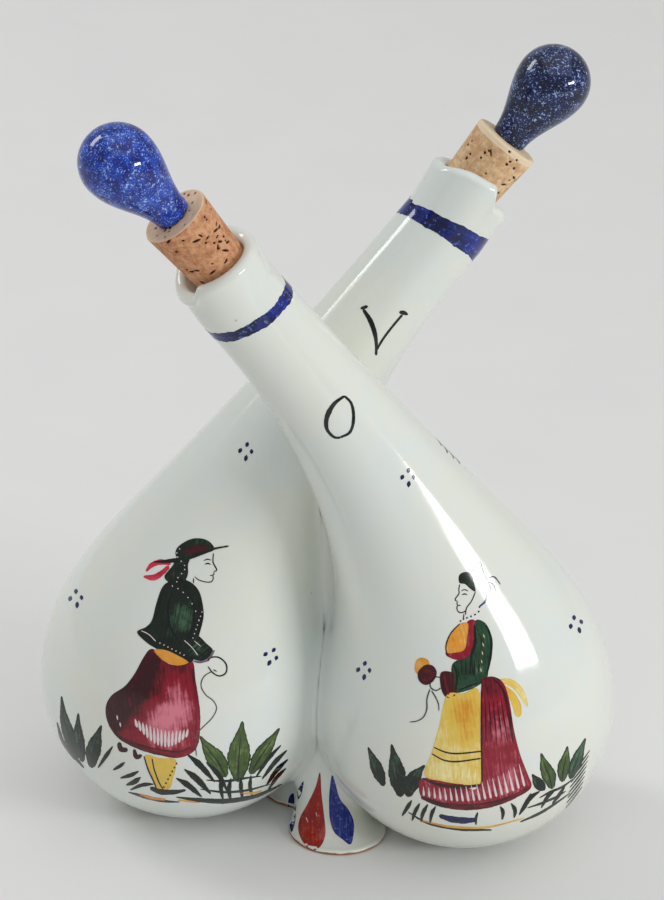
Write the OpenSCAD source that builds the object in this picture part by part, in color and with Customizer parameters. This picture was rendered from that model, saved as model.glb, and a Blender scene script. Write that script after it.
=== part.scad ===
// Oil and vinegar cruet: two earthenware bottles luted together with crossed necks, and two corks with knobs.
// Millimetres. The origin is at the middle of the base, +Z is up, and the oil bottle stands towards -Y.
// The vinegar side is the oil side turned half round about Z.

/* [Bottles] */
// Radius of each round belly
lobe_r = 37.8; // [36:0.2:39]
// Distance of each belly's plumb line from the middle, along X
lobe_x = 32.4; // [31.5:0.2:34]
// Distance of each bottle's upright plane from the middle, along Y
lobe_y = 14.2; // [13.6:0.1:14.6]
// Radius of the flat that each belly stands on
base_r = 9; // [6:0.5:12]
// Thickness of the earthenware wall
wall = 4.5; // [3.8:0.1:4.8]
// Radius of the neck at the mouth
neck_r = 11; // [10.8:0.1:12]
// How early the belly narrows to the neck: a lower value narrows it sooner
neck_taper = 0.75; // [0.7:0.01:0.8]
// How far the neck's end leans out from the belly's plumb line
neck_reach = 62.8; // [58:0.2:66]
// Height of the neck's end, where the collar starts
neck_h = 156.2; // [152:0.5:162]
// Height above the belly's centre over which the bottle rises straight
straight_rise = 23.8; // [20:0.2:27]
// Sideways place of the point that the neck's straight run aims back to
bend_x = 21.9; // [20:0.1:24]
// Height of the point that the neck's straight run aims back to
bend_h = 106.8; // [103:0.2:110]

/* [Mouths] */
// Length of the collar between the neck's end and the rim
collar_l = 12.5; // [12:0.5:14]
// How much more upright the collar stands than the neck
collar_turn = 8; // [0:0.5:8]
// How far the rim bulges past the neck
rim_bulge = 0.3; // [0:0.1:0.8]
// How far the oil bottle's pouring lip lies below its rim
oil_lip_drop = 2; // [1:0.2:3]
// How far the vinegar bottle's pouring lip lies below its rim
vinegar_lip_drop = 4.5; // [1:0.5:4.5]
// How far the oil bottle's rim rises on the side towards the other bottle
oil_rim_rise = 2.2; // [0:0.2:3]
// How far the vinegar bottle's rim rises on the side towards the other bottle
vinegar_rim_rise = 3.5; // [0:0.5:3.5]
// How far the oil bottle's rim lies below its collar's full length
oil_rim_low = 2.1; // [-0.5:0.1:2.2]
// How far the vinegar bottle's rim lies below its collar's full length
vinegar_rim_low = -0.6; // [-0.6:0.1:1]
// How far the pouring lip flares outwards
lip_flare = 0.4; // [0:0.1:1.6]
// Half of the angle that the oil bottle's pouring lip takes
oil_lip_half = 44; // [34:2:54]
// Half of the angle that the vinegar bottle's pouring lip takes
vinegar_lip_half = 78; // [34:2:80]
// Angle over which a lip steps up to the rim
lip_step = 14; // [10:1:20]

/* [Corks] */
// Radius of a cork's top
cork_top_r = 8.5; // [8.2:0.1:8.9]
// Radius of a cork's bottom
cork_bottom_r = 6.8; // [6.3:0.1:7]
// How far a cork stands out of its mouth
cork_proud = 13.5; // [10:0.5:16]
// How deep a cork sits in its throat
cork_depth = 10.5; // [8:0.5:11.5]
// How much more upright a cork stands than the neck's end
cork_turn = 1.5; // [1:0.5:4]
// Gap between a cork and its throat
cork_gap = 0.2; // [0.15:0.05:0.4]
// Bevel on a cork's edges
cork_bevel = 0.5; // [0.3:0.1:0.8]
// Radius of the chips broken out of the vinegar cork's top edge
chip_r = 1.1; // [0.6:0.1:1.4]

/* [Knobs] */
// Radius of the oil knob's round head
oil_knob_r = 9.6; // [9:0.1:11]
// Height of the oil knob's centre above its cork
oil_knob_h = 20; // [16:0.2:22]
// How much further out the oil knob leans than its cork
oil_knob_tilt = 5; // [-5:0.5:5]
// Radius of the vinegar knob's round head
vinegar_knob_r = 9.3; // [9:0.1:11]
// Height of the vinegar knob's centre above its cork
vinegar_knob_h = 18.2; // [16:0.2:22]
// How much further out the vinegar knob leans than its cork
vinegar_knob_tilt = -1.5; // [-5:0.5:5]
// Radius of a knob's stem where it stands on its cork
stem_r = 4.5; // [3.8:0.1:5.4]
// Radius of the shank that is glued into the cork
shank_r = 2.5; // [2:0.1:3]
// Length of the shank
shank_l = 12; // [8:0.5:16]
// Gap between the shank and its bore
shank_gap = 0.1; // [0.05:0.05:0.2]

/* [Feet] */
// Radius of each flared foot
foot_r = 12.4; // [11:0.2:14]
// Sideways place of the front foot's middle, along X
foot_x = 1; // [0:0.2:2]
// Distance of each foot's middle from the middle of the base, along Y
foot_y = 11.6; // [10:0.2:12]
// Radius of a foot's waist, where it runs up between the bellies
waist_r = 5.4; // [4.8:0.1:6]
// Sideways lean of the waist into the valley between the bellies
waist_x = 1.6; // [1:0.2:2.4]
// Distance of the waist's top from the middle, along Y
waist_y = 3.6; // [3:0.2:5]
// Height of a foot, to where it ends between the bellies
foot_h = 30; // [27:0.5:34]
// Height of a foot's rounded edge
foot_edge = 1.2; // [0.6:0.2:2]
// Thickness of a foot's edge around its hollow underside
foot_wall = 5; // [4:0.5:6.5]

/* [Hidden] */
// Number of sides and rings of the swept surfaces
SIDES = 48;
CAVITY_SIDES = 24;
BOWL_STEPS = 9;
NECK_STEPS = 23;
CAVITY_STEPS = 12;
SEAM_STEPS = 12;
SEAM_SIDES = 16;
FLARE_STEPS = 9;
FOOT_SIDES = 28;
PROFILE_STEPS = 14;
ROUND_FN = 96;
GLAZE = "ivory";
CORK = "burlywood";
COBALT = "mediumblue";
// Height of a belly's centre, so that its flat lies on the table
lobe_z = sqrt(lobe_r * lobe_r - base_r * base_r);
// The bottle's centre line as four control points, each [lean outwards, height]
LINE = [[0, lobe_z], [0, lobe_z + straight_rise], [bend_x, bend_h], [neck_reach, neck_h]];
// Tilt of the neck's end from upright
lean = atan2(neck_reach - bend_x, neck_h - bend_h);
// Direction of the collar, and the middle of the rim
OUT = [sin(lean - collar_turn), cos(lean - collar_turn)];
MOUTH = LINE[3] + collar_l * OUT;
// A cork's radius at the rim's height, on its straight taper
cork_slope = (cork_top_r - cork_bottom_r) / (cork_proud + cork_depth);
cork_rim_r = cork_bottom_r + cork_slope * cork_depth;
// The throat reaches down past the collar into the neck's hollow
throat_l = collar_l + 2;
// Half the thickness of the rim between the neck's outside and the throat
rim_half = (neck_r + rim_bulge - cork_rim_r - cork_gap) / 2;
// The rim's section, from outside to inside, as [distance from the neck's axis, height]
RIM = [for (a = [0, 30, 60, 90, 125, 160])
    [neck_r + rim_bulge - rim_half + rim_half * cos(a), rim_half * (sin(a) - 1)]];
// Heights below the rim at which its lip and tilt fade in, with their share there
LIP_FADE = [[-9, 0], [-7, 0.12], [-4.6, 0.5]];
// How deep the seam between the bottles is sunk into each wall, and how far it reaches front and back
seam_bite = 1;
seam_reach = 3;
// Place on the centre line, as a share, at which the necks cross and the seam ends
seam_end = max([for (i = [0:200]) if (curve(LINE, i / 200)[0] <= lobe_x) i / 200]);
// Places around the vinegar cork's top edge that are chipped, as [angle, share of the chip's radius]
CHIPS = [[200, 1], [228, 0.7], [262, 0.9], [305, 0.6], [20, 0.5]];

// A point on the cubic curve through four control points, and the curve's direction there
function curve(p, t) =
    pow(1 - t, 3) * p[0] + 3 * t * pow(1 - t, 2) * p[1] + 3 * t * t * (1 - t) * p[2] + pow(t, 3) * p[3];
function heading(p, t) =
    3 * pow(1 - t, 2) * (p[1] - p[0]) + 6 * t * (1 - t) * (p[2] - p[1]) + 3 * t * t * (p[3] - p[2]);
// Radius of the bottle's outside along its centre line: the belly swells smoothly out of the neck
function swell(t) = neck_r + (lobe_r - neck_r) * (1 + cos(180 * pow(t, neck_taper))) / 2;
function swell_rate(t) =
    (swell(min(1, t + 0.001)) - swell(max(0, t - 0.001))) / (min(1, t + 0.001) - max(0, t - 0.001));
// A smooth step from 0 to 1
function ease(x) = let (u = max(0, min(1, x))) u * u * (3 - 2 * u);

// A ring square to the centre line. Near the mouth it takes a share of the lip, whose drop, half angle, rise
// and lowering follow.
function ring(c, dir, r, n, lip = 0, mouth = [0, 0, 0, 0]) = [for (i = [0:n - 1])
    let (a = 360 * i / n,
         fold = a > 180 ? 360 - a : a,
         share = lip * (1 - ease((fold - mouth[1] + lip_step / 2) / lip_step)),
         rr = r + lip_flare * share,
         drop = mouth[0] * share + lip * (mouth[3] - mouth[2] * ease(sin(a))),
         h = c[0] + rr * cos(a) * dir[1] - drop * dir[0],
         z = c[1] - rr * cos(a) * dir[0] - drop * dir[1])
    [-h, rr * sin(a), z]];
function swept_ring(t, inset, n) =
    let (d = heading(LINE, t), r = swell(t) - inset, k = swell_rate(t) / norm(d), dir = d / norm(d))
    ring(curve(LINE, t) - dir * r * k, dir, r * sqrt(1 - k * k), n);
// The belly's lower half is a bowl about its plumb line
function bowl_rings(r, from, steps, n) = [for (i = [0:steps - 1])
    let (b = from + (90 - from) * i / steps) ring([0, lobe_z - r * cos(b)], [0, 1], r * sin(b), n)];

// A closed surface over a list of rings, all with the same number of points
module skin(rings) {
    n = len(rings[0]);
    last = len(rings) - 1;
    points = [for (r = rings) each r];
    sides = [for (j = [0:last - 1], i = [0:n - 1])
        each [[j * n + i, j * n + (i + 1) % n, (j + 1) * n + i],
              [j * n + (i + 1) % n, (j + 1) * n + (i + 1) % n, (j + 1) * n + i]]];
    ends = concat([[for (i = [n - 1:-1:0]) i]],
                  [for (i = [1:n - 2]) [last * n, last * n + i, last * n + i + 1]]);
    polyhedron(points = points, faces = concat(sides, ends), convexity = 8);
}

// Outside of one bottle, leaning towards -X, with its rolled rim and its pouring lip on the low side
module bottle_outside(mouth) {
    from = asin(base_r / lobe_r);
    neck = [for (i = [0:NECK_STEPS - 1]) swept_ring(i / (NECK_STEPS - 1), 0, SIDES)];
    fade = [for (f = LIP_FADE)
        ring(MOUTH + OUT * f[0], OUT, neck_r + rim_bulge * ease(1 + f[0] / 10), SIDES, f[1], mouth)];
    rim = [for (p = RIM) ring(MOUTH + OUT * p[1], OUT, p[0], SIDES, 1, mouth)];
    skin(concat(bowl_rings(lobe_r, from, BOWL_STEPS, SIDES), neck, fade, rim));
}

// Space inside one bottle, an even wall inside its outside
module bottle_cavity() {
    r = lobe_r - wall;
    neck = [for (i = [0:CAVITY_STEPS - 1]) swept_ring(i / (CAVITY_STEPS - 1), wall, CAVITY_SIDES)];
    skin(concat(bowl_rings(r, 14, 5, CAVITY_SIDES), neck));
}

// Puts what is drawn about +Z, with the rim at zero, on the mouth of a bottle that leans towards -X
module on_mouth() {
    translate([-MOUTH[0], 0, MOUTH[1]]) rotate([0, cork_turn - lean, 0]) children();
}

// Tilts a knob and its bore about the middle of the cork's top
module tilted(angle) {
    translate([0, 0, cork_proud]) rotate([0, -angle, 0]) children();
}

// Tapered throat that a cork seats in
module throat() {
    on_mouth() translate([0, 0, -throat_l])
        cylinder(r1 = cork_rim_r + cork_gap - cork_slope * throat_l,
                 r2 = cork_rim_r + cork_gap + cork_slope * 6, h = throat_l + 6, $fn = ROUND_FN);
}

// Puts a bottle's own parts in their place: 1 is the oil side, -1 the vinegar side
module placed(side) {
    rotate([0, 0, side > 0 ? 0 : 180]) translate([lobe_x, -lobe_y, 0]) children();
}

// Clay that lutes the bottles along the valley between them, turning as the necks cross. It fills the valley
// square.
module seam() {
    function blunt(x) = sign(x) * sqrt(abs(x));
    function slice(t) =
        let (p = curve(LINE, t), x = lobe_x - p[0], r = swell(t), gap = norm([x, lobe_y]) - r,
             across = max(0, gap) + seam_bite + seam_reach * seam_reach / (2 * r),
             u = [x, -lobe_y] / norm([x, lobe_y]), v = [u[1], -u[0]])
        [for (i = [0:SEAM_SIDES - 1])
            let (a = 360 * i / SEAM_SIDES, q = u * across * blunt(cos(a)) + v * seam_reach * blunt(sin(a)))
            [q[0], q[1], p[1]]];
    skin([for (i = [0:SEAM_STEPS]) slice(0.02 + (seam_end - 0.02) * i / SEAM_STEPS)]);
}

// The front foot: a round flare that sweeps in and up to a waist in the valley between the bellies
module foot() {
    function slice(share, z) =
        let (r = waist_r + (foot_r - waist_r) * share, x = foot_x * share - waist_x * (1 - share),
             y = foot_y * share + waist_y * (1 - share))
        [for (i = [0:FOOT_SIDES - 1]) let (a = 360 * i / FOOT_SIDES) [x + r * cos(a), -y - r * sin(a), z]];
    sweep = [for (i = [0:FLARE_STEPS]) let (a = 90 * i / FLARE_STEPS)
        slice(0.96 * (1 - sin(a)), foot_edge + (foot_h - foot_edge) * (1 - cos(a)))];
    skin(concat([slice(0.97, 0), slice(1, foot_edge * 0.3), slice(1, foot_edge * 0.7)], sweep));
}

module cruet_body() {
    hollow_r = foot_r - foot_wall;
    color(GLAZE) difference() {
        union() {
            placed(1) bottle_outside([oil_lip_drop, oil_lip_half, oil_rim_rise, oil_rim_low]);
            placed(-1)
                bottle_outside([vinegar_lip_drop, vinegar_lip_half, vinegar_rim_rise, vinegar_rim_low]);
            seam();
            for (turn = [0, 180]) rotate([0, 0, turn]) foot();
        }
        for (side = [1, -1]) placed(side) bottle_cavity();
        for (side = [1, -1]) placed(side) throat();
        for (side = [1, -1]) translate([side * foot_x, -side * foot_y, -1])
            cylinder(r1 = hollow_r, r2 = hollow_r / 3, h = 5, $fn = ROUND_FN);
    }
}

// A tapered cork about +Z, with the rim's height at zero, a blind bore for the knob's shank and a seat for its
// stem
module cork(tilt) {
    color(CORK) difference() {
        rotate_extrude($fn = ROUND_FN) polygon([
            [0, -cork_depth], [cork_bottom_r - cork_bevel, -cork_depth],
            [cork_bottom_r + cork_slope * cork_bevel, -cork_depth + cork_bevel],
            [cork_top_r - cork_slope * cork_bevel, cork_proud - cork_bevel],
            [cork_top_r - cork_bevel, cork_proud], [0, cork_proud]]);
        tilted(tilt) {
            translate([0, 0, -shank_l - 0.5])
                cylinder(r = shank_r + shank_gap, h = shank_l + 2, $fn = ROUND_FN);
            cylinder(r = stem_r + shank_gap, h = 2, $fn = ROUND_FN);
        }
    }
}

// Chips along the edge of a cork's top
module chips() {
    for (c = CHIPS) rotate([0, 0, c[0]]) translate([cork_top_r + chip_r * 0.25, 0, cork_proud + chip_r * 0.2])
        sphere(r = chip_r * c[1], $fn = 24);
}

// A bulb-shaped knob that stands on its cork, with its shank in the cork
module knob(r, h, tilt) {
    stem = [for (i = [0:PROFILE_STEPS]) let (u = i / PROFILE_STEPS)
        [stem_r + (r - stem_r) * (1 - cos(180 * u)) / 2, h * u]];
    head = [for (i = [1:PROFILE_STEPS]) let (a = 90 * i / PROFILE_STEPS) [r * cos(a), h + r * sin(a)]];
    color(COBALT) tilted(tilt) union() {
        rotate_extrude($fn = ROUND_FN) polygon(concat([[0, 0]], stem, head));
        translate([0, 0, -shank_l]) cylinder(r = shank_r, h = shank_l + 1, $fn = ROUND_FN);
    }
}

module oil_cork() {
    placed(1) on_mouth() cork(oil_knob_tilt);
}

module oil_knob() {
    placed(1) on_mouth() knob(oil_knob_r, oil_knob_h, oil_knob_tilt);
}

module vinegar_cork() {
    placed(-1) on_mouth() difference() {
        cork(vinegar_knob_tilt);
        color(CORK) chips();
    }
}

module vinegar_knob() {
    placed(-1) on_mouth() knob(vinegar_knob_r, vinegar_knob_h, vinegar_knob_tilt);
}

cruet_body();
oil_cork();
oil_knob();
vinegar_cork();
vinegar_knob();
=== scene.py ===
"""Oil and vinegar cruet, dressed for the camera: glazed earthenware body, brushed decor, corks and knobs."""

from __future__ import annotations

import logging
import math
from dataclasses import dataclass, field
from enum import Enum

import bpy
import numpy as np
from mathutils import Matrix, Vector
from mathutils.bvhtree import BVHTree
from mathutils.geometry import delaunay_2d_cdt
from mathutils.interpolate import poly_3d_calc


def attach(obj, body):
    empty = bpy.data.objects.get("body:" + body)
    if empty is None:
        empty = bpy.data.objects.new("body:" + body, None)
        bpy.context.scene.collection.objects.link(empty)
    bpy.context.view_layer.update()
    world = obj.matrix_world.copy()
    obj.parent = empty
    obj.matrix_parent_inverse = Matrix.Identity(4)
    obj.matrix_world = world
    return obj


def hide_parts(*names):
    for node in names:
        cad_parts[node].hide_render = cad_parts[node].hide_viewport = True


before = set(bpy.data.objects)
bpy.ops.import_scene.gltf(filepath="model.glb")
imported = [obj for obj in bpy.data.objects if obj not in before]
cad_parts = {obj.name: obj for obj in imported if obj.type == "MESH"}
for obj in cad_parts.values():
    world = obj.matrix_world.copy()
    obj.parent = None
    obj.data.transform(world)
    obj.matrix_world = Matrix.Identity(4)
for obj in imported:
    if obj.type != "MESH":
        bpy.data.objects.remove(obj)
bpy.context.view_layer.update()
log = logging.getLogger("cruet")
MM = 0.001

Colour = tuple[float, float, float, float]
Spot = tuple[float, float]
Faces = list[tuple[int, ...]]


class Side(Enum):
    """Which of the two bottles a part belongs to, with its half-turn sign."""

    OIL = 1.0
    VINEGAR = -1.0


# Shapes


def ease(x: np.ndarray) -> np.ndarray:
    """Return a smooth step from 0 to 1."""
    u = np.clip(x, 0.0, 1.0)
    return u * u * (3 - 2 * u)


@dataclass(frozen=True)
class Mouth:
    """How one bottle's rim was pressed: its pouring lip, its rise on the inner side and its height."""

    lip_drop: float
    lip_half: float
    rise: float
    low: float


MOUTHS = {Side.OIL: Mouth(2.0, 44.0, 2.2, 2.1), Side.VINEGAR: Mouth(4.5, 78.0, 3.5, -0.6)}


@dataclass(frozen=True)
class BottleShape:
    """Sizes and curves of one bottle in millimetres, leaning towards -X."""

    lobe_r: float = 37.8
    lobe_x: float = 32.4
    lobe_y: float = 14.2
    base_r: float = 9.0
    wall: float = 4.5
    neck_r: float = 11.0
    neck_taper: float = 0.75
    neck_reach: float = 62.8
    neck_h: float = 156.2
    straight_rise: float = 23.8
    bend_x: float = 21.9
    bend_h: float = 106.8
    collar_l: float = 12.5
    collar_turn: float = 8.0
    rim_bulge: float = 0.3
    lip_flare: float = 0.4
    lip_step: float = 14.0
    cork_top_r: float = 8.5
    cork_bottom_r: float = 6.8
    cork_proud: float = 13.5
    cork_depth: float = 10.5
    cork_turn: float = 1.5
    cork_gap: float = 0.2

    @property
    def lobe_z(self) -> float:
        """Height of the belly's centre."""
        return math.sqrt(self.lobe_r**2 - self.base_r**2)

    @property
    def line(self) -> np.ndarray:
        """Control points of the centre line, each [lean outwards, height]."""
        return np.array([[0, self.lobe_z], [0, self.lobe_z + self.straight_rise],
                         [self.bend_x, self.bend_h], [self.neck_reach, self.neck_h]])

    @property
    def lean(self) -> float:
        """Tilt of the neck's end from upright, in degrees."""
        return math.degrees(math.atan2(self.neck_reach - self.bend_x, self.neck_h - self.bend_h))

    @property
    def out(self) -> np.ndarray:
        """Direction of the collar."""
        a = math.radians(self.lean - self.collar_turn)
        return np.array([math.sin(a), math.cos(a)])

    @property
    def mouth(self) -> np.ndarray:
        """Middle of the rim, as [lean outwards, height]."""
        return self.line[3] + self.collar_l * self.out

    @property
    def cork_slope(self) -> float:
        """Taper of the cork, as radius over length."""
        return (self.cork_top_r - self.cork_bottom_r) / (self.cork_proud + self.cork_depth)

    @property
    def cork_rim_r(self) -> float:
        """Radius of the cork at the rim's height."""
        return self.cork_bottom_r + self.cork_slope * self.cork_depth

    @property
    def rim_half(self) -> float:
        """Half the thickness of the rim."""
        return (self.neck_r + self.rim_bulge - self.cork_rim_r - self.cork_gap) / 2

    def curve(self, t: float) -> np.ndarray:
        """Return the centre line's point at t."""
        p = self.line
        return (1 - t)**3 * p[0] + 3 * t * (1 - t)**2 * p[1] + 3 * t * t * (1 - t) * p[2] + t**3 * p[3]

    def heading(self, t: float) -> np.ndarray:
        """Return the centre line's direction at t, not of unit length."""
        p = self.line
        return 3 * (1 - t)**2 * (p[1] - p[0]) + 6 * t * (1 - t) * (p[2] - p[1]) + 3 * t * t * (p[3] - p[2])

    def swell(self, t: float) -> float:
        """Return the outside radius at t."""
        return self.neck_r + (self.lobe_r - self.neck_r) * (1 + math.cos(math.pi * t**self.neck_taper)) / 2

    def swell_rate(self, t: float) -> float:
        """Return the slope of the outside radius at t."""
        low, high = max(0.0, t - 0.001), min(1.0, t + 0.001)
        return (self.swell(high) - self.swell(low)) / (high - low)

    def ring(self, c: np.ndarray, d: np.ndarray, r: float, sides: int, lip: float = 0.0,
             mouth: Mouth = MOUTHS[Side.OIL]) -> np.ndarray:
        """Return one ring of points square to a direction.

        Args:
            c: Middle of the ring, as [lean outwards, height].
            d: Unit direction of the axis there.
            r: Radius of the ring.
            sides: Number of points.
            lip: Share of the mouth's shape that this ring takes.
            mouth: The mouth's shape.

        Returns:
            Points as rows of x, y, z in millimetres.
        """
        a = np.arange(sides) * 360.0 / sides
        fold = np.where(a > 180, 360 - a, a)
        share = lip * (1 - ease((fold - mouth.lip_half + self.lip_step / 2) / self.lip_step))
        rr, a = r + self.lip_flare * share, np.radians(a)
        drop = mouth.lip_drop * share + lip * (mouth.low - mouth.rise * ease(np.sin(a)))
        h = c[0] + rr * np.cos(a) * d[1] - drop * d[0]
        z = c[1] - rr * np.cos(a) * d[0] - drop * d[1]
        return np.stack([-h, rr * np.sin(a), z], axis=1)

    def swept_ring(self, t: float, inset: float, sides: int) -> np.ndarray:
        """Return the ring where the wall touches the ball of that radius at t.

        Args:
            t: Share along the centre line.
            inset: How far inside the outside the ring lies.
            sides: Number of points.

        Returns:
            Points as rows of x, y, z in millimetres.
        """
        d, r = self.heading(t), self.swell(t) - inset
        k = self.swell_rate(t) / np.linalg.norm(d)
        d = d / np.linalg.norm(d)
        return self.ring(self.curve(t) - d * r * k, d, r * math.sqrt(1 - k * k), sides)

    def bowl_rings(self, r: float, start: float, steps: int, sides: int) -> list[np.ndarray]:
        """Return the rings of the belly's lower half, from the flat upwards.

        Args:
            r: Radius of the bowl.
            start: Angle from straight down at which the first ring lies, in degrees.
            steps: Number of rings.
            sides: Number of points of each.

        Returns:
            The rings.
        """
        rings = []
        for i in range(steps):
            b = math.radians(start + (90 - start) * i / steps)
            rings.append(self.ring(np.array([0, self.lobe_z - r * math.cos(b)]), np.array([0.0, 1.0]),
                                   r * math.sin(b), sides))
        return rings

    def outside_rings(self, sides: int, mouth: Mouth) -> list[np.ndarray]:
        """Return the rings of the outside, from the base up to the middle of the rolled rim.

        Args:
            sides: Number of points of each ring.
            mouth: The mouth's shape.

        Returns:
            The rings.
        """
        start = math.degrees(math.asin(self.base_r / self.lobe_r))
        rings = self.bowl_rings(self.lobe_r, start, 32, sides)
        rings += [self.swept_ring(t, 0, sides) for t in np.linspace(0, 1, 96)]
        rise = np.array([-11.6, -10.7, -9.8, -8.9, -8, -7, -6, -5, -4.2, -3.4, -2.7, -2.1])
        lips = np.interp(rise, [-9.8, -8.9, -8, -7, -6, -5, -4.2, -3.4, -2.7, -2.1],
                         [0, 0.02, 0.07, 0.16, 0.29, 0.45, 0.59, 0.74, 0.88, 1])
        for f, share in zip(rise, lips):
            bulge = self.rim_bulge * float(ease(np.array(1 + f / 10)))
            a = math.radians(self.lean - self.collar_turn * min(1.0, (f + self.collar_l) / 5))
            rings.append(self.ring(self.mouth + self.out * f, np.array([math.sin(a), math.cos(a)]),
                                   self.neck_r + bulge, sides, share, mouth))
        for a in np.radians(np.linspace(0, 90, 7)):
            rings.append(self.rim_ring(a, sides, mouth))
        return rings

    def rim_ring(self, a: float, sides: int, mouth: Mouth) -> np.ndarray:
        """Return the rolled rim's ring at an angle of its section, from outside to inside.

        Args:
            a: Angle in radians.
            sides: Number of points.
            mouth: The mouth's shape.

        Returns:
            Points as rows of x, y, z in millimetres.
        """
        r = self.neck_r + self.rim_bulge - self.rim_half + self.rim_half * math.cos(a)
        p = self.mouth + self.out * self.rim_half * (math.sin(a) - 1)
        return self.ring(p, self.out, r, sides, 1.0, mouth)

    def inside_rings(self, sides: int, mouth: Mouth) -> list[np.ndarray]:
        """Return the rings from the rim down the throat and through the hollow to its floor.

        Args:
            sides: Number of points of each ring.
            mouth: The mouth's shape.

        Returns:
            The rings.
        """
        rings = [self.rim_ring(a, sides, mouth) for a in np.radians([105, 120, 135, 150, 165])]
        a = math.radians(self.lean - self.cork_turn)
        axis = np.array([math.sin(a), math.cos(a)])
        for depth in (6.2, 7.8, 9.4, 11.5, 13.2):
            r = self.cork_rim_r + self.cork_gap - self.cork_slope * depth
            rings.append(self.ring(self.mouth - axis * depth, axis, r, sides))
        rings += [self.swept_ring(t, self.wall, sides) for t in np.linspace(0.97, 0, 30)]
        return rings + self.bowl_rings(self.lobe_r - self.wall, 6, 10, sides)[::-1]

    def place(self, points: np.ndarray, side: Side) -> np.ndarray:
        """Return points moved from the bottle's own place to its side of the cruet."""
        moved = points + np.array([self.lobe_x, -self.lobe_y, 0])
        return moved * np.array([side.value, side.value, 1.0])

    def mouth_matrix(self, side: Side) -> Matrix:
        """Return the matrix that stands a stopper in its mouth, in metres.

        Args:
            side: The bottle.

        Returns:
            The matrix.
        """
        turn = Matrix.Rotation(0 if side is Side.OIL else math.pi, 4, "Z")
        shift = Matrix.Translation(Vector(((self.lobe_x - self.mouth[0]) * MM, -self.lobe_y * MM,
                                           self.mouth[1] * MM)))
        return turn @ shift @ Matrix.Rotation(math.radians(self.cork_turn - self.lean), 4, "Y")


def loft_faces(rings: int, sides: int) -> Faces:
    """Return the faces of a closed loft: quads along the sides and a cap at each end.

    Args:
        rings: Number of rings, from the bottom up.
        sides: Number of points of each ring.

    Returns:
        Faces as tuples of indices, turned outwards.
    """
    faces = [tuple(range(sides))]
    for j in range(rings - 1):
        for i in range(sides):
            k = (i + 1) % sides
            faces.append((j * sides + i, (j + 1) * sides + i, (j + 1) * sides + k, j * sides + k))
    faces.append(tuple((rings - 1) * sides + i for i in range(sides - 1, -1, -1)))
    return faces


def new_piece(name: str, points: np.ndarray, faces: Faces, materials: list[bpy.types.Material],
              scale: float = MM) -> bpy.types.Object:
    """Make a smooth-shaded mesh piece and put it in the scene.

    Args:
        name: Name of the piece.
        points: Its points.
        faces: Its faces.
        materials: Its materials, the first on all faces.
        scale: Factor from the points' unit to metres.

    Returns:
        The new object.
    """
    mesh = bpy.data.meshes.new(name)
    mesh.from_pydata((np.asarray(points) * scale).tolist(), [], faces)
    mesh.polygons.foreach_set("use_smooth", [True] * len(mesh.polygons))
    mesh.update()
    piece = bpy.data.objects.new(name, mesh)
    bpy.context.scene.collection.objects.link(piece)
    for material in materials:
        mesh.materials.append(material)
    return piece


# Finishes


@dataclass
class Nodes:
    """A small helper that adds and joins shader nodes in one tree."""

    tree: bpy.types.NodeTree

    def add(self, kind: str, inputs: dict[str | int, object] | None = None,
            **settings: object) -> bpy.types.Node:
        """Add a node.

        Args:
            kind: Blender's name of the node.
            inputs: Values or output sockets for its inputs, by name or number.
            **settings: Properties of the node.

        Returns:
            The node.
        """
        node = self.tree.nodes.new(kind)
        for key, value in settings.items():
            setattr(node, key, value)
        for key, value in (inputs or {}).items():
            self.put(node.inputs[key], value)
        return node

    def put(self, socket: bpy.types.NodeSocket, value: object) -> None:
        """Join an output to a socket, or set the socket's value.

        Args:
            socket: The input socket.
            value: The output socket or the value.
        """
        if isinstance(value, bpy.types.NodeSocket):
            self.tree.links.new(value, socket)
        else:
            socket.default_value = value

    def noise(self, vector: object, scale: float, detail: float = 2.0,
              rough: float = 0.5) -> bpy.types.NodeSocket:
        """Add a noise texture and return its value.

        Args:
            vector: The coordinates.
            scale: Its scale.
            detail: Its detail.
            rough: Its roughness.

        Returns:
            The value socket.
        """
        node = self.add("ShaderNodeTexNoise", {"Vector": vector, "Scale": scale, "Detail": detail,
                                               "Roughness": rough})
        return node.outputs["Fac"]

    def remap(self, value: object, low: float, high: float, to_low: float = 0.0, to_high: float = 1.0,
              smooth: bool = True) -> bpy.types.NodeSocket:
        """Add a clamped map range and return its result.

        Args:
            value: The value.
            low: Where it starts.
            high: Where it ends.
            to_low: What the start becomes.
            to_high: What the end becomes.
            smooth: Whether it eases in and out.

        Returns:
            The result socket.
        """
        kind = "SMOOTHSTEP" if smooth else "LINEAR"
        node = self.add("ShaderNodeMapRange", {"Value": value, "From Min": low, "From Max": high,
                                               "To Min": to_low, "To Max": to_high}, interpolation_type=kind)
        return node.outputs["Result"]

    def mix(self, share: object, a: object, b: object) -> bpy.types.NodeSocket:
        """Mix two colours and return the result.

        Args:
            share: Share of the second colour.
            a: The first colour.
            b: The second colour.

        Returns:
            The colour socket.
        """
        node = self.add("ShaderNodeMix", data_type="RGBA")
        for socket, value in ((node.inputs[0], share), (node.inputs[6], a), (node.inputs[7], b)):
            self.put(socket, value)
        return node.outputs[2]

    def maths(self, operation: str, a: object, b: object = 0.5) -> bpy.types.NodeSocket:
        """Add a clamped math node and return its value."""
        node = self.add("ShaderNodeMath", {0: a, 1: b}, operation=operation, use_clamp=True)
        return node.outputs[0]

    def carried(self, name: str) -> bpy.types.NodeSocket:
        """Return a value that the mesh carries at its points."""
        return self.add("ShaderNodeAttribute", attribute_name=name, attribute_type="GEOMETRY").outputs["Fac"]

    def bump(self, height: object, strength: float, distance: float) -> bpy.types.NodeSocket:
        """Add a bump of some distance in metres and return its normal."""
        node = self.add("ShaderNodeBump", {"Strength": strength, "Distance": distance, "Height": height})
        return node.outputs[0]


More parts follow.
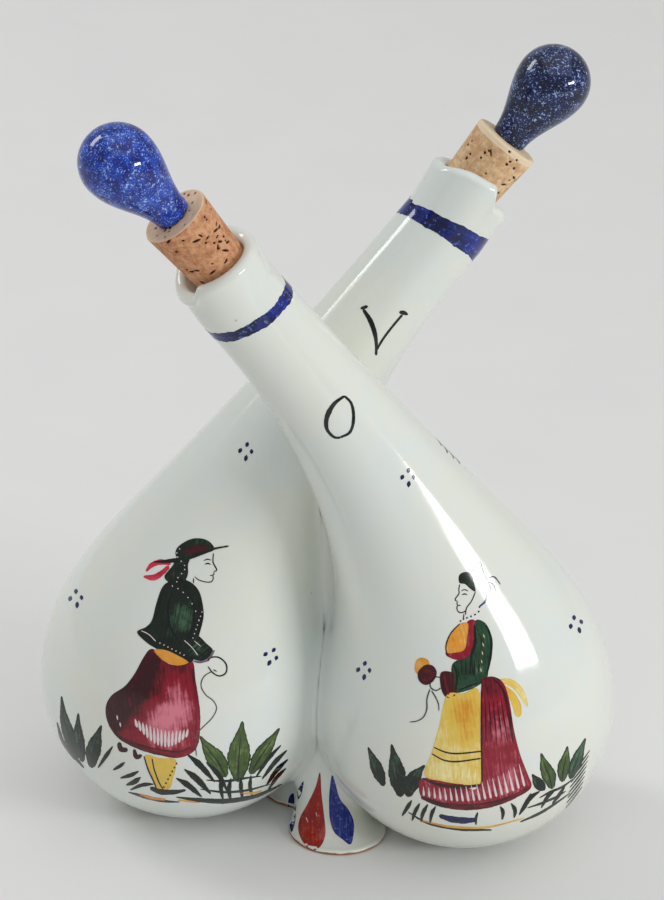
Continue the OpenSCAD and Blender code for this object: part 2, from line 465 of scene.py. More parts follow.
def rgb(red: float, green: float, blue: float) -> Colour:
    """Return a linear colour from screen values of 0 to 255."""
    linear = [((c / 255 + 0.055) / 1.055)**2.4 if c > 10 else c / 255 / 12.92 for c in (red, green, blue)]
    return (linear[0], linear[1], linear[2], 1.0)


def glaze_unevenness() -> bpy.types.ShaderNodeTree:
    """Build, once, the group that gives the drift in tone and the slow waves of a hand-dipped glaze.

    Returns:
        A group with the inputs Vector and Size, and the outputs Tone, Pinholes and Height.
    """
    name = "glaze unevenness"
    if name in bpy.data.node_groups:
        return bpy.data.node_groups[name]
    group = bpy.data.node_groups.new(name, "ShaderNodeTree")
    group.interface.new_socket("Vector", in_out="INPUT", socket_type="NodeSocketVector")
    group.interface.new_socket("Size", in_out="INPUT", socket_type="NodeSocketFloat").default_value = 1.0
    for out in ("Tone", "Pinholes", "Height"):
        group.interface.new_socket(out, in_out="OUTPUT", socket_type="NodeSocketFloat")
    n = Nodes(group)
    given = n.add("NodeGroupInput").outputs
    scaled = n.add("ShaderNodeVectorMath", {0: given["Vector"]}, operation="SCALE")
    n.put(scaled.inputs["Scale"], given["Size"])
    place = scaled.outputs[0]
    slow, cloud = n.noise(place, 26.0, 3.0), n.noise(place, 160.0, 2.0)
    tone = n.maths("ADD", n.maths("MULTIPLY", slow, 0.7), n.maths("MULTIPLY", cloud, 0.3))
    cells = n.add("ShaderNodeTexVoronoi", {"Vector": place, "Scale": 210.0, "Randomness": 1.0})
    hole = n.remap(cells.outputs["Distance"], 0.05, 0.1, 1.0, 0.0)
    rare = n.remap(n.noise(place, 90.0, 1.0), 0.64, 0.7)
    wave = n.maths("ADD", n.maths("MULTIPLY", n.noise(place, 45.0, 1.0), 0.8),
                   n.maths("MULTIPLY", n.noise(place, 420.0, 1.0), 0.06))
    end = n.add("NodeGroupOutput")
    n.put(end.inputs["Tone"], n.remap(tone, 0.35, 0.65))
    n.put(end.inputs["Pinholes"], n.maths("MULTIPLY", hole, rare))
    n.put(end.inputs["Height"], wave)
    return group


def start_material(name: str) -> tuple[bpy.types.Material, Nodes, bpy.types.Node, bpy.types.NodeSocket]:
    """Make a material with a Principled shader.

    Args:
        name: Name of the material.

    Returns:
        The material, the node helper, the shader and the object coordinates.
    """
    material = bpy.data.materials.new(name)
    material.use_nodes = True
    material.node_tree.nodes.clear()
    n = Nodes(material.node_tree)
    shader = n.add("ShaderNodeBsdfPrincipled")
    end = n.add("ShaderNodeOutputMaterial")
    n.put(end.inputs["Surface"], shader.outputs[0])
    place = n.add("ShaderNodeTexCoord").outputs["Object"]
    return material, n, shader, place


@dataclass(frozen=True)
class MilkGlaze:
    """White glaze over buff clay: creamy where it is thin, cooler where it pools, bare where it stands."""

    body: Colour = rgb(224, 231, 227)
    thin: Colour = rgb(229, 231, 220)
    clay: Colour = rgb(176, 122, 86)
    fleck: Colour = rgb(150, 138, 116)

    def build(self) -> bpy.types.Material:
        """Return the glaze as a material.

        Returns:
            The material.
        """
        material, n, shader, place = start_material("milk_glaze")
        drift = n.add("ShaderNodeGroup", {"Vector": place, "Size": 1.0}, node_tree=glaze_unevenness())
        colour = n.mix(drift.outputs["Tone"], self.body, self.thin)
        colour = n.mix(n.maths("MULTIPLY", drift.outputs["Pinholes"], 0.5), colour, self.fleck)
        height = n.add("ShaderNodeSeparateXYZ", {0: place}).outputs["Z"]
        ragged = n.maths("ADD", n.maths("MULTIPLY", n.noise(place, 300.0), 0.001), height)
        bare = n.remap(ragged, 0.0011, 0.0014, 1.0, 0.0)
        grit = n.mix(n.noise(place, 900.0, 3.0), self.clay, rgb(150, 98, 66))
        n.put(shader.inputs["Base Color"], n.mix(bare, colour, grit))
        rough = n.remap(drift.outputs["Tone"], 0.0, 1.0, 0.07, 0.13)
        n.put(shader.inputs["Roughness"], n.maths("ADD", rough, n.maths("MULTIPLY", bare, 0.75)))
        n.put(shader.inputs["Normal"], n.bump(drift.outputs["Height"], 0.12, 0.0006))
        return material


@dataclass(frozen=True)
class SpongedCobalt:
    """Cobalt glaze dabbed on with a sponge, so that specks of the white ground show through."""

    deep: Colour = rgb(10, 30, 122)
    mid: Colour = rgb(30, 74, 188)
    speck: Colour = rgb(172, 200, 240)
    openness: float = 0.5
    name: str = "sponged_cobalt"

    def build(self) -> bpy.types.Material:
        """Return the glaze as a material.

        Returns:
            The material.
        """
        material, n, shader, place = start_material(self.name)
        drift = n.add("ShaderNodeGroup", {"Vector": place, "Size": 2.2}, node_tree=glaze_unevenness())
        blots = n.noise(place, 300.0, 5.0, 0.7)
        colour = n.mix(n.remap(blots, 0.38, 0.62), self.deep, self.mid)
        for scale, rarer in ((1250.0, 0.0), (2400.0, 0.01)):
            fleck = n.noise(place, scale, 3.0, 0.7)
            near = n.maths("ADD", n.maths("MULTIPLY", fleck, 0.8), n.maths("MULTIPLY", blots, 0.2))
            low = 0.597 - 0.05 * self.openness + rarer
            specks = n.maths("MULTIPLY", n.remap(near, low, low + 0.05), 0.85)
            colour = n.mix(specks, colour, self.speck)
        n.put(shader.inputs["Base Color"], colour)
        n.put(shader.inputs["Roughness"], n.remap(drift.outputs["Tone"], 0.0, 1.0, 0.06, 0.12))
        n.put(shader.inputs["Normal"], n.bump(drift.outputs["Height"], 0.15, 0.0004))
        return material


@dataclass(frozen=True)
class CorkBark:
    """Natural cork: a fine tan grain with darker streaks, brown pores, and paler where it was cut."""

    name: str = "cork_bark"
    light: Colour = rgb(216, 162, 120)
    dark: Colour = rgb(178, 118, 80)
    pore: Colour = rgb(58, 26, 14)
    cut: Colour = rgb(240, 224, 198)

    def build(self) -> bpy.types.Material:
        """Return the cork as a material.

        Returns:
            The material.
        """
        material, n, shader, place = start_material(self.name)
        grain = n.noise(place, 700.0, 4.0, 0.65)
        bands = n.noise(place, 180.0, 2.0)
        share = n.maths("ADD", n.maths("MULTIPLY", grain, 0.65), n.maths("MULTIPLY", bands, 0.35))
        colour = n.mix(n.remap(share, 0.36, 0.62), self.light, self.dark)
        fine = n.noise(place, 2600.0, 2.0)
        colour = n.mix(n.remap(fine, 0.6, 0.72, 0.0, 0.5), colour, self.pore)
        worn = n.carried("worn")
        ragged = n.maths("ADD", worn, n.maths("MULTIPLY", n.noise(place, 500.0, 3.0), 0.5))
        colour = n.mix(n.remap(ragged, 0.62, 0.8), colour, n.mix(grain, self.cut, self.light))
        n.put(shader.inputs["Base Color"], n.mix(n.remap(n.carried("pit"), 0.15, 0.55), colour, self.pore))
        n.put(shader.inputs["Roughness"], n.remap(grain, 0.3, 0.7, 0.75, 0.95))
        n.put(shader.inputs["Normal"], n.bump(grain, 0.5, 0.0003))
        return material


# Pieces


class Skin:
    """The outside of one shell, which gives the distance and direction to any point near it."""

    def __init__(self, points: np.ndarray, faces: Faces) -> None:
        """Keep a shell's outside, closed with a cap, and the smooth directions at its points.

        Args:
            points: Points of the outside, ring by ring.
            faces: Faces of the whole shell, the first of them a cap with all points of a ring.
        """
        sides, count = len(faces[0]), len(points)
        used = [f for f in faces if max(f) < count] + [tuple(range(count - 1, count - 1 - sides, -1))]
        self.points = [Vector(p) for p in points]
        self.faces = used
        self.tree = BVHTree.FromPolygons(self.points, used, epsilon=0.0)
        mesh = bpy.data.meshes.new("skin")
        mesh.from_pydata(self.points, [], used)
        self.normals = [v.normal.copy() for v in mesh.vertices]
        bpy.data.meshes.remove(mesh)

    def reading(self, p: Vector, fine: bool = False) -> tuple[float, Vector]:
        """Return the distance to a point, less than zero inside, and the direction in which it grows.

        Args:
            p: The point.
            fine: Whether the direction is smoothed over the shell's faces.

        Returns:
            The distance, and the direction.
        """
        spot, normal, index, gap = self.tree.find_nearest(p)
        inside = normal.dot(p - spot) < 0
        if fine:
            corners = self.faces[index]
            if len(corners) == 4:
                shares = poly_3d_calc([self.points[k] for k in corners], spot)
                normal = sum((self.normals[k] * w for k, w in zip(corners, shares)), Vector()).normalized()
        elif not inside and gap > 1e-6:
            normal = (p - spot) / gap
        return (-gap if inside else gap), normal


@dataclass
class CruetBody:
    """The two bottles, the clay between them and the two feet, as one glazed piece.

    Lengths are in millimetres. A point near a join is drawn onto the blended surface in some rounds, which
    start from a sink below it, and moves no farther than its stray, a share of the fillet.
    """

    shape: BottleShape = field(default_factory=BottleShape)
    sides: int = 128
    fillet: float = 5.0
    hide_depth: float = 2.0
    dive: float = 2.6
    foot_r: float = 12.4
    foot_x: float = 1.0
    foot_y: float = 11.6
    waist_r: float = 5.4
    waist_x: float = 1.6
    waist_y: float = 3.6
    foot_h: float = 30.0
    foot_edge: float = 1.2
    foot_wall: float = 5.0
    seam_bite: float = 1.0
    seam_reach: float = 3.0
    buried: float = 7.0
    footing: float = 0.4
    settle_h: float = 4.0
    rounds: int = 6
    sink: float = 0.05
    stray: float = 0.45
    fade: float = 0.6
    foot_sides: int = 72
    seam_sides: int = 64
    points: np.ndarray = field(default_factory=lambda: np.zeros((0, 3)))
    faces: Faces = field(default_factory=list)
    slopes: dict[int, Vector] = field(default_factory=dict)
    surface: BVHTree | None = None
    smooth: list[Vector] = field(default_factory=list)

    def touch(self, eye: Vector, ahead: Vector) -> tuple[Vector, Vector] | None:
        """Return the place and smooth direction of the surface where a line of sight meets it."""
        spot, normal, index, _ = self.surface.ray_cast(eye, ahead)
        return None if spot is None else (spot, self.direction(spot, normal, index))

    def nearest(self, p: Vector) -> tuple[Vector, Vector]:
        """Return the place and smooth direction of the surface nearest to a point."""
        spot, normal, index, _ = self.surface.find_nearest(p)
        return spot, self.direction(spot, normal, index)

    def direction(self, spot: Vector, normal: Vector, index: int) -> Vector:
        """Return the direction of the smooth surface at a place on one of its faces.

        Args:
            spot: The place.
            normal: The face's own direction.
            index: Number of the face.

        Returns:
            The direction, of unit length.
        """
        corners = self.faces[index]
        if len(corners) != 4:
            return normal
        shares = poly_3d_calc([Vector(self.points[k]) * MM for k in corners], spot)
        return sum((self.smooth[k] * w for k, w in zip(corners, shares)), Vector()).normalized()

    def foot_rings(self) -> list[np.ndarray]:
        """Return the front foot's rings, from its hollow underside over its edge and up to its waist.

        Returns:
            The rings.
        """
        sides = self.foot_sides
        a = np.radians(np.arange(sides) * (360 / sides))

        def slice_at(share: float, z: float, r: float | None = None) -> np.ndarray:
            """Return one slice of the foot.

            Args:
                share: Share of the way from the waist out to the flared edge.
                z: Height of the slice.
                r: Radius, where it isn't the foot's own at that share.

            Returns:
                Points as rows of x, y, z in millimetres.
            """
            radius = self.waist_r + (self.foot_r - self.waist_r) * share if r is None else r
            x = self.foot_x * share - self.waist_x * (1 - share)
            y = self.foot_y * share + self.waist_y * (1 - share)
            return np.stack([x + radius * np.cos(a), -y - radius * np.sin(a), np.full(sides, z)], axis=1)

        hollow = self.foot_r - self.foot_wall
        rings = [slice_at(1, z, r) for z, r in ((4.0, hollow / 3), (2.0, hollow * 0.7), (0.3, hollow * 0.96),
                                                (0.0, hollow + 0.3))]
        rings += [slice_at(0.95, 0.0), slice_at(0.985, 0.12)]
        rings += [slice_at(1, self.foot_edge * u) for u in (0.3, 0.5, 0.7)]
        rings.append(slice_at(0.985, self.foot_edge))
        for b in np.radians(np.linspace(2, 90, 30)):
            rings.append(slice_at(0.96 * (1 - math.sin(b)),
                                  self.foot_edge + (self.foot_h - self.foot_edge) * (1 - math.cos(b))))
        return rings

    def seam_rings(self) -> list[np.ndarray]:
        """Return the slices of the clay between the bottles, turning as the necks cross.

        Returns:
            The slices.
        """
        s, sides = self.shape, self.seam_sides
        a = np.radians(np.arange(sides) * (360 / sides))
        end = max(t for t in np.arange(201) / 200 if s.curve(t)[0] <= s.lobe_x)
        square = np.stack([np.sign(w) * np.sqrt(np.abs(w)) for w in (np.cos(a).round(9), np.sin(a).round(9))])
        rings = []
        for t in np.linspace(0.02, end, 61):
            p, r = s.curve(t), s.swell(t)
            side = np.array([s.lobe_x - p[0], -s.lobe_y])
            u = side / np.linalg.norm(side)
            v = np.array([u[1], -u[0]])
            across = max(0, np.linalg.norm(side) - r) + self.seam_bite + self.seam_reach**2 / (2 * r)
            q = np.outer(square[0], u * across) + np.outer(square[1], v * self.seam_reach)
            rings.append(np.column_stack([q, np.full(sides, p[1])]))
        return rings

    def gather(self) -> list[tuple[np.ndarray, Faces, int]]:
        """Return each shell as points, faces and the number of points that blend into the others.

        Returns:
            The shells: both bottles, the clay between them and both feet.
        """
        s = self.shape
        shells = []
        for side in Side:
            outer, inner = s.outside_rings(self.sides, MOUTHS[side]), s.inside_rings(self.sides, MOUTHS[side])
            shells.append((s.place(np.concatenate(outer + inner), side),
                           loft_faces(len(outer) + len(inner), self.sides), len(outer) * self.sides))
        seam = self.seam_rings()
        count = self.seam_sides
        shells.append((np.concatenate(seam), loft_faces(len(seam), count), len(seam) * count))
        foot = self.foot_rings()
        points, faces = np.concatenate(foot), loft_faces(len(foot), self.foot_sides)
        shells += [(points, faces, len(points)), (points * np.array([-1, -1, 1]), faces, len(points))]
        return shells

    def melt(self) -> None:
        """Join the shells with soft fillets, as clay that was smoothed down where the parts meet."""
        shells = self.gather()
        skins = [Skin(points[:blended], faces) for points, faces, blended in shells]
        all_points, all_faces, offset = [], [], 0
        for own, (points, faces, blended) in enumerate(shells):
            moved = points.copy()
            for i in range(blended):
                spot, slope = self.melted_point(Vector(points[i]), own, skins)
                moved[i] = spot
                if slope is not None:
                    self.slopes[offset + i] = slope
            all_points.append(moved)
            all_faces += [tuple(offset + k for k in f) for f in faces]
            offset += len(points)
        self.points, self.faces = np.concatenate(all_points), all_faces

    def melted_point(self, point: Vector, own: int, skins: list[Skin]) -> tuple[Vector, Vector | None]:
        """Move one point of a shell onto the soft union of all shells.

        Args:
            point: The point on its own shell.
            own: Number of its own shell.
            skins: The shells' outsides.

        Returns:
            The moved point, and the surface's direction there if it was moved. A point deep inside another
            shell is only brought up to just below that shell's surface, and one that is buried deeper, or
            that the cruet stands on, stays.
        """
        others = sorted((skins[k].reading(point)[0], k) for k in range(len(skins)) if k != own)
        start, nearest = others[0]
        if start >= self.fillet or start < -self.buried or point.z < self.footing:
            return point, None
        if start < -self.dive:
            lift = max(0.0, -start - self.hide_depth)
            return point + skins[nearest].reading(point)[1] * lift, None
        near = [own] + [k for gap, k in others if gap < self.fillet * 1.5]
        p, sink = point.copy(), self.sink * max(0.0, -start) / self.dive
        for _ in range(self.rounds):
            value, slope = self.soft_union(p, near, skins, False)
            if slope.length < 0.2:
                break
            p = p - slope.normalized() * (value + sink) * 0.9
        slope = self.soft_union(p, near, skins, True)[1].normalized()
        step = (p - point) * min(1.0, point.z / self.settle_h)
        if step.length > self.fillet * self.stray:
            step = step.normalized() * self.fillet * self.stray
        if start < -self.dive + self.fade:
            step = step * max(0.0, (start + self.dive) / self.fade)
        return point + step, slope

    def soft_union(self, p: Vector, near: list[int], skins: list[Skin], fine: bool) -> tuple[float, Vector]:
        """Return the distance from a point to the soft union of some shells, and its direction.

        Args:
            p: The point.
            near: Numbers of the shells.
            skins: The shells' outsides.
            fine: Whether the direction is smoothed over each shell's faces.

        Returns:
            The distance, less than zero inside, and the direction in which it grows.
        """
        value, slope = skins[near[0]].reading(p, fine)
        for k in near[1:]:
            gap, normal = skins[k].reading(p, fine)
            share = min(1.0, max(0.0, 0.5 + 0.5 * (gap - value) / self.fillet))
            slope = slope * share + normal * (1 - share)
            value = value * share + gap * (1 - share) - self.fillet * share * (1 - share)
        return value, slope

    def build(self, material: bpy.types.Material) -> bpy.types.Object:
        """Make the body, and the search tree that the decor is laid on.

        Args:
            material: The glaze.

        Returns:
            The body piece, riding in place of the solid.
        """
        self.melt()
        piece = new_piece("glazed_body", self.points, self.faces, [material])
        self.smooth = [self.slopes.get(v.index, v.normal.copy()) for v in piece.data.vertices]
        piece.data.normals_split_custom_set_from_vertices(self.smooth)
        self.surface = BVHTree.FromPolygons([v.co for v in piece.data.vertices],
                                            [tuple(p.vertices) for p in piece.data.polygons])
        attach(piece, "body")
        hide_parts("cruet_body")
        return piece


@dataclass
class Stopper:
    """A cork with its pores, and the bulb knob that stands on it."""

    side: Side
    rides_on: str
    cork_node: str
    knob_node: str
    knob_r: float
    knob_h: float
    knob_tilt: float
    cobalt: SpongedCobalt
    seed: int
    shape: BottleShape = field(default_factory=BottleShape)
    chips: tuple[Spot, ...] = ()
    pale_edge: float = 0.6
    wall_pores: int = 85
    top_pores: int = 26
    pore_depth: float = 0.55
    cork_sides: int = 220
    cork_rows: int = 96
    stem_r: float = 4.5
    shank_r: float = 2.5
    shank_l: float = 12.0

    def cork_rings(self) -> list[np.ndarray]:
        """Return the cork's rings, from the middle of its bottom, up and over its top into the bore.

        Returns:
            The rings.
        """
        s, sides = self.shape, self.cork_sides
        profile = [(0.4, -s.cork_depth), (3.0, -s.cork_depth), (5.0, -s.cork_depth),
                   (s.cork_bottom_r - 0.5, -s.cork_depth), (s.cork_bottom_r - 0.15, -s.cork_depth + 0.16)]
        rows = np.linspace(-s.cork_depth + 0.5, s.cork_proud - 0.5, self.cork_rows)
        profile += [(s.cork_bottom_r + s.cork_slope * (z + s.cork_depth), z) for z in rows]
        top = s.cork_proud
        profile += [(s.cork_top_r - 0.17, top - 0.17), (s.cork_top_r - 0.5, top)]
        profile += [(r, top) for r in np.linspace(s.cork_top_r - 0.8, self.shank_r + 0.3, 26)]
        profile += [(self.shank_r + 0.12, top - 0.1), (self.shank_r + 0.12, top - 3.0), (0.4, top - 3.0)]
        a = np.arange(sides) * 2 * math.pi / sides
        return [np.stack([r * np.cos(a), -r * np.sin(a), np.full(sides, z)], axis=1) for r, z in profile]

    def open_pores(self, points: np.ndarray) -> np.ndarray:
        """Sink the pores into the cork's wall and top.

        Args:
            points: The cork's points, which are moved.

        Returns:
            For each point, how much of it lies in a pore, from 0 to 1.
        """
        s, top = self.shape, self.shape.cork_proud
        rng = np.random.default_rng(self.seed)
        pit = np.zeros(len(points))
        radial = np.linalg.norm(points[:, :2], axis=1)
        angle = np.arctan2(points[:, 1], points[:, 0])
        wall = (points[:, 2] > -s.cork_depth + 0.4) & (points[:, 2] < top - 0.3) & (radial > 5)
        for _ in range(self.wall_pores):
            at, z = rng.uniform(-math.pi, math.pi), rng.uniform(-s.cork_depth + 1, top - 0.8)
            long, thin, turn = rng.uniform(0.35, 0.6), rng.uniform(0.26, 0.44), rng.normal(0, 0.5)
            long = long * 2.4 if rng.random() < 0.25 else long
            arc = (angle - at + math.pi) % (2 * math.pi) - math.pi
            u, v = arc * radial, points[:, 2] - z
            u, v = u * math.cos(turn) + v * math.sin(turn), v * math.cos(turn) - u * math.sin(turn)
            hit = np.clip(1.15 - np.sqrt((u / long)**2 + (v / thin)**2), 0, 1) * wall
            pit = np.maximum(pit, hit)
        face = (points[:, 2] > top - 0.05) & (radial > self.shank_r + 0.5) & (radial < s.cork_top_r - 0.6)
        for _ in range(self.top_pores):
            at, r = rng.uniform(-math.pi, math.pi), rng.uniform(3.2, s.cork_top_r - 1)
            gap = np.linalg.norm(points[:, :2] - [r * math.cos(at), r * math.sin(at)], axis=1)
            pit = np.maximum(pit, np.clip(1.2 - gap / rng.uniform(0.25, 0.5), 0, 1) * face)
        sunk = ease(pit) * self.pore_depth
        points[:, :2] *= (1 - (sunk * wall / np.maximum(radial, 1)))[:, None]
        points[:, 2] -= sunk * face
        return pit

    def break_chips(self, points: np.ndarray, pit: np.ndarray, radial: np.ndarray) -> np.ndarray:
        """Press the chips into the cork's top edge.

        Args:
            points: The cork's points, which are moved.
            pit: For each point, how much of it lies in a pore.
            radial: For each point, its distance from the cork's axis.

        Returns:
            The pores, with the rough ground of the chips added.
        """
        for at, size in self.chips:
            out = np.array([math.cos(math.radians(at)), math.sin(math.radians(at)), 0])
            spot = out * (self.shape.cork_top_r + 0.28)
            spot[2] = self.shape.cork_proud + 0.22
            away = points - spot
            gap = np.linalg.norm(away, axis=1)
            push = (gap < size * 1.1) & (radial > 4)
            rough = 1 + 0.12 * np.sin(points[:, 0] * 9) * np.cos(points[:, 1] * 11)
            points[push] = spot + away[push] / gap[push, None] * (size * 1.1 * rough[push])[:, None]
            pit = np.where(push, np.maximum(pit, 0.3), pit)
        return pit

    def build_cork(self, material: bpy.types.Material) -> bpy.types.Object:
        """Make the cork with pits where its pores open.

        Args:
            material: The cork.

        Returns:
            The cork piece, riding in place of the solid.
        """
        s, top = self.shape, self.shape.cork_proud
        rings = self.cork_rings()
        points = np.concatenate(rings)
        radial = np.linalg.norm(points[:, :2], axis=1)
        pit = self.break_chips(points, self.open_pores(points), radial)
        piece = new_piece(self.cork_node + "_bark", points, loft_faces(len(rings), len(rings[0])), [material])
        rim = ease((radial - (s.cork_top_r - self.pale_edge)) / 1.2)
        worn = np.maximum(0.85 * (points[:, 2] > top - 0.3),
                          rim * ease((points[:, 2] - top + self.pale_edge) / 1.6))
        for name, values in (("pit", pit), ("worn", worn)):
            given = piece.data.attributes.new(name, "FLOAT", "POINT")
            given.data.foreach_set("value", values.astype(np.float32))
        piece.data.transform(s.mouth_matrix(self.side))
        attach(piece, self.rides_on)
        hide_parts(self.cork_node)
        return piece

    def build_knob(self) -> bpy.types.Object:
        """Make the knob, turned by hand so that it is never quite even.

        Returns:
            The knob piece, riding in place of the solid.
        """
        sides, r, h = 128, self.knob_r, self.knob_h
        profile = [(self.shank_r - 0.02, -self.shank_l + 0.2), (self.shank_r - 0.02, -0.6),
                   (self.stem_r - 0.5, 0.02), (self.stem_r - 0.1, 0.25)]
        for u in np.linspace(0.04, 1, 40):
            profile.append((self.stem_r + (r - self.stem_r) * (1 - math.cos(math.pi * u)) / 2, h * u))
        for b in np.radians(np.linspace(3, 88.5, 30)):
            profile.append((r * math.cos(b), h + r * math.sin(b)))
        a = np.arange(sides) * 2 * math.pi / sides
        rings = []
        for radius, z in profile:
            wobble = 1 - 0.004 * (1 + np.sin(2 * a + z * 0.15 + self.seed))
            wobble = wobble if z > 0.3 else 1.0
            rings.append(np.stack([radius * wobble * np.cos(a), -radius * wobble * np.sin(a),
                                   np.full(sides, z)], axis=1))
        points = np.concatenate(rings)
        piece = new_piece(self.knob_node + "_glazed", points, loft_faces(len(rings), sides),
                          [self.cobalt.build()])
        tilt = (Matrix.Translation((0, 0, self.shape.cork_proud * MM))
                @ Matrix.Rotation(math.radians(-self.knob_tilt), 4, "Y"))
        piece.data.transform(self.shape.mouth_matrix(self.side) @ tilt)
        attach(piece, self.rides_on)
        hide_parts(self.knob_node)
        return piece


# Views: how the painter faces the cruet


@dataclass(frozen=True)
class View:
    """A place to look from, with the picture that is seen from there in pixels of a 664 by 900 frame."""

    azimuth: float = -15.81
    elevation: float = 27.74
    roll: float = -2.04
    distance: float = 1134.0
    focal_px: float = 4552.0
    aim: tuple[float, float, float] = (0.0, 0.0, 90.0)
    aim_px: Spot = (1.0, 48.7)
    middle_px: Spot = (332.0, 450.0)

    def axes(self) -> tuple[Vector, Vector, Vector]:
        """Return the picture's right, its up, and the direction back to the eye.

        Returns:
            The three directions.
        """
        az, el, roll = (math.radians(v) for v in (self.azimuth, self.elevation, self.roll))
        back = Vector((math.sin(az) * math.cos(el), -math.cos(az) * math.cos(el), math.sin(el)))
        right = Vector((math.cos(az), math.sin(az), 0))
        up = right.cross(-back)
        c, s = math.cos(roll), math.sin(roll)
        return right * c - up * s, right * s + up * c, back

    @property
    def place(self) -> Vector:
        """Place of the eye, in metres."""
        return (Vector(self.aim) + self.axes()[2] * self.distance) * MM

    @property
    def turned(self) -> Matrix:
        """Axes of the eye as columns, turned so that the aim point lies off the middle of the picture."""
        right, up, back = self.axes()
        ahead = -back + up * (self.aim_px[1] / self.focal_px) - right * (self.aim_px[0] / self.focal_px)
        z = -ahead.normalized()
        x = (right - z * right.dot(z)).normalized()
        return Matrix((x, z.cross(x), z)).transposed()

    def ray(self, x: float, y: float) -> Vector:
        """Return the direction from the eye through a pixel."""
        right, up = (x - self.middle_px[0]) / self.focal_px, (self.middle_px[1] - y) / self.focal_px
        return (self.turned @ Vector((right, up, -1))).normalized()

    def project(self, spot: Vector) -> np.ndarray:
        """Return the pixel at which a place is seen.

        Args:
            spot: The place in metres.

        Returns:
            Its x and y.
        """
        v = self.turned.transposed() @ (spot - self.place)
        across, down = self.middle_px
        return np.array([across - self.focal_px * v.x / v.z, down + self.focal_px * v.y / v.z])


# The painter's palette and marks


@dataclass(frozen=True)
class BrushPaint:
    """One colour of the palette, from its washed-out tone over its full tone to where it stood in a pool."""

    name: str
    deep: Colour
    full: Colour
    thin: Colour
    spread: float = 0.3
    specks: float = 0.0

    def build(self) -> bpy.types.Material:
        """Return the paint as a material.

        Returns:
            The material.
        """
        material, n, shader, place = start_material("paint_" + self.name)
        drift = n.add("ShaderNodeGroup", {"Vector": place, "Size": 1.0}, node_tree=glaze_unevenness())
        along = n.add("ShaderNodeUVMap", uv_map="brush").outputs["UV"]
        pulled = n.add("ShaderNodeVectorMath", {0: along, 1: (0.16, 1.9, 1.0)}, operation="MULTIPLY")
        streaks = n.noise(pulled.outputs[0], 1.0, 4.0, 0.6)
        mottle = n.noise(place, 420.0, 4.0, 0.6)
        wet = n.maths("ADD", n.maths("MULTIPLY", streaks, 0.55), n.maths("MULTIPLY", mottle, 0.45))
        uneven = n.remap(wet, 0.36, 0.64, -self.spread, self.spread, smooth=False)
        pooled = n.remap(n.carried("edge"), 0.0, 0.4, 0.14, 0.0)
        share = n.maths("ADD", n.maths("ADD", n.carried("load"), pooled), uneven)
        colour = n.mix(n.remap(share, 0.0, 0.5), self.thin, self.full)
        colour = n.mix(n.remap(share, 0.5, 1.0), colour, self.deep)
        if self.specks:
            low = 0.68 - 0.1 * self.specks
            pale = n.remap(n.noise(place, 1100.0, 2.0, 0.6), low, 0.76 - 0.1 * self.specks)
            colour = n.mix(n.maths("MULTIPLY", pale, 0.7), colour, self.thin)
        n.put(shader.inputs["Base Color"], colour)
        n.put(shader.inputs["Roughness"], n.remap(drift.outputs["Tone"], 0.0, 1.0, 0.08, 0.15))
        n.put(shader.inputs["Normal"], n.bump(drift.outputs["Height"], 0.12, 0.0006))
        return material


class Paint(Enum):
    """The palette."""

    INK = BrushPaint("ink", rgb(4, 5, 6), rgb(16, 18, 20), rgb(70, 74, 78))
    HAIRLINE = BrushPaint("hairline", rgb(40, 46, 48), rgb(84, 90, 90), rgb(150, 156, 154))
    COBALT = BrushPaint("cobalt", rgb(8, 14, 62), rgb(24, 40, 132), rgb(92, 120, 200), 0.34, 0.9)
    NAVY = BrushPaint("navy", rgb(6, 8, 40), rgb(18, 26, 92), rgb(70, 84, 150))
    CRIMSON = BrushPaint("crimson", rgb(52, 4, 14), rgb(140, 12, 38), rgb(218, 124, 142), 0.22)
    MAROON = BrushPaint("maroon", rgb(24, 4, 8), rgb(66, 8, 18), rgb(128, 36, 52))
    ROSE = BrushPaint("rose", rgb(176, 14, 46), rgb(212, 48, 80), rgb(240, 164, 174))
    PINE = BrushPaint("pine", rgb(4, 9, 6), rgb(14, 30, 20), rgb(62, 98, 70))
    FERN = BrushPaint("fern", rgb(8, 24, 16), rgb(32, 70, 46), rgb(96, 132, 100))
    LEAF = BrushPaint("leaf", rgb(22, 38, 12), rgb(60, 84, 34), rgb(122, 144, 84))
    OCHRE = BrushPaint("ochre", rgb(190, 106, 18), rgb(226, 154, 54), rgb(240, 206, 132))
    YELLOW = BrushPaint("yellow", rgb(214, 138, 34), rgb(226, 192, 80), rgb(242, 232, 168), 0.2)
    BRICK = BrushPaint("brick", rgb(88, 6, 4), rgb(154, 22, 14), rgb(214, 104, 76), 0.26, 0.5)
    MILK = BrushPaint("milk", rgb(222, 190, 198), rgb(228, 218, 218), rgb(234, 232, 230), 0.2)
    LILAC = BrushPaint("lilac", rgb(92, 66, 90), rgb(140, 116, 138), rgb(192, 176, 188))


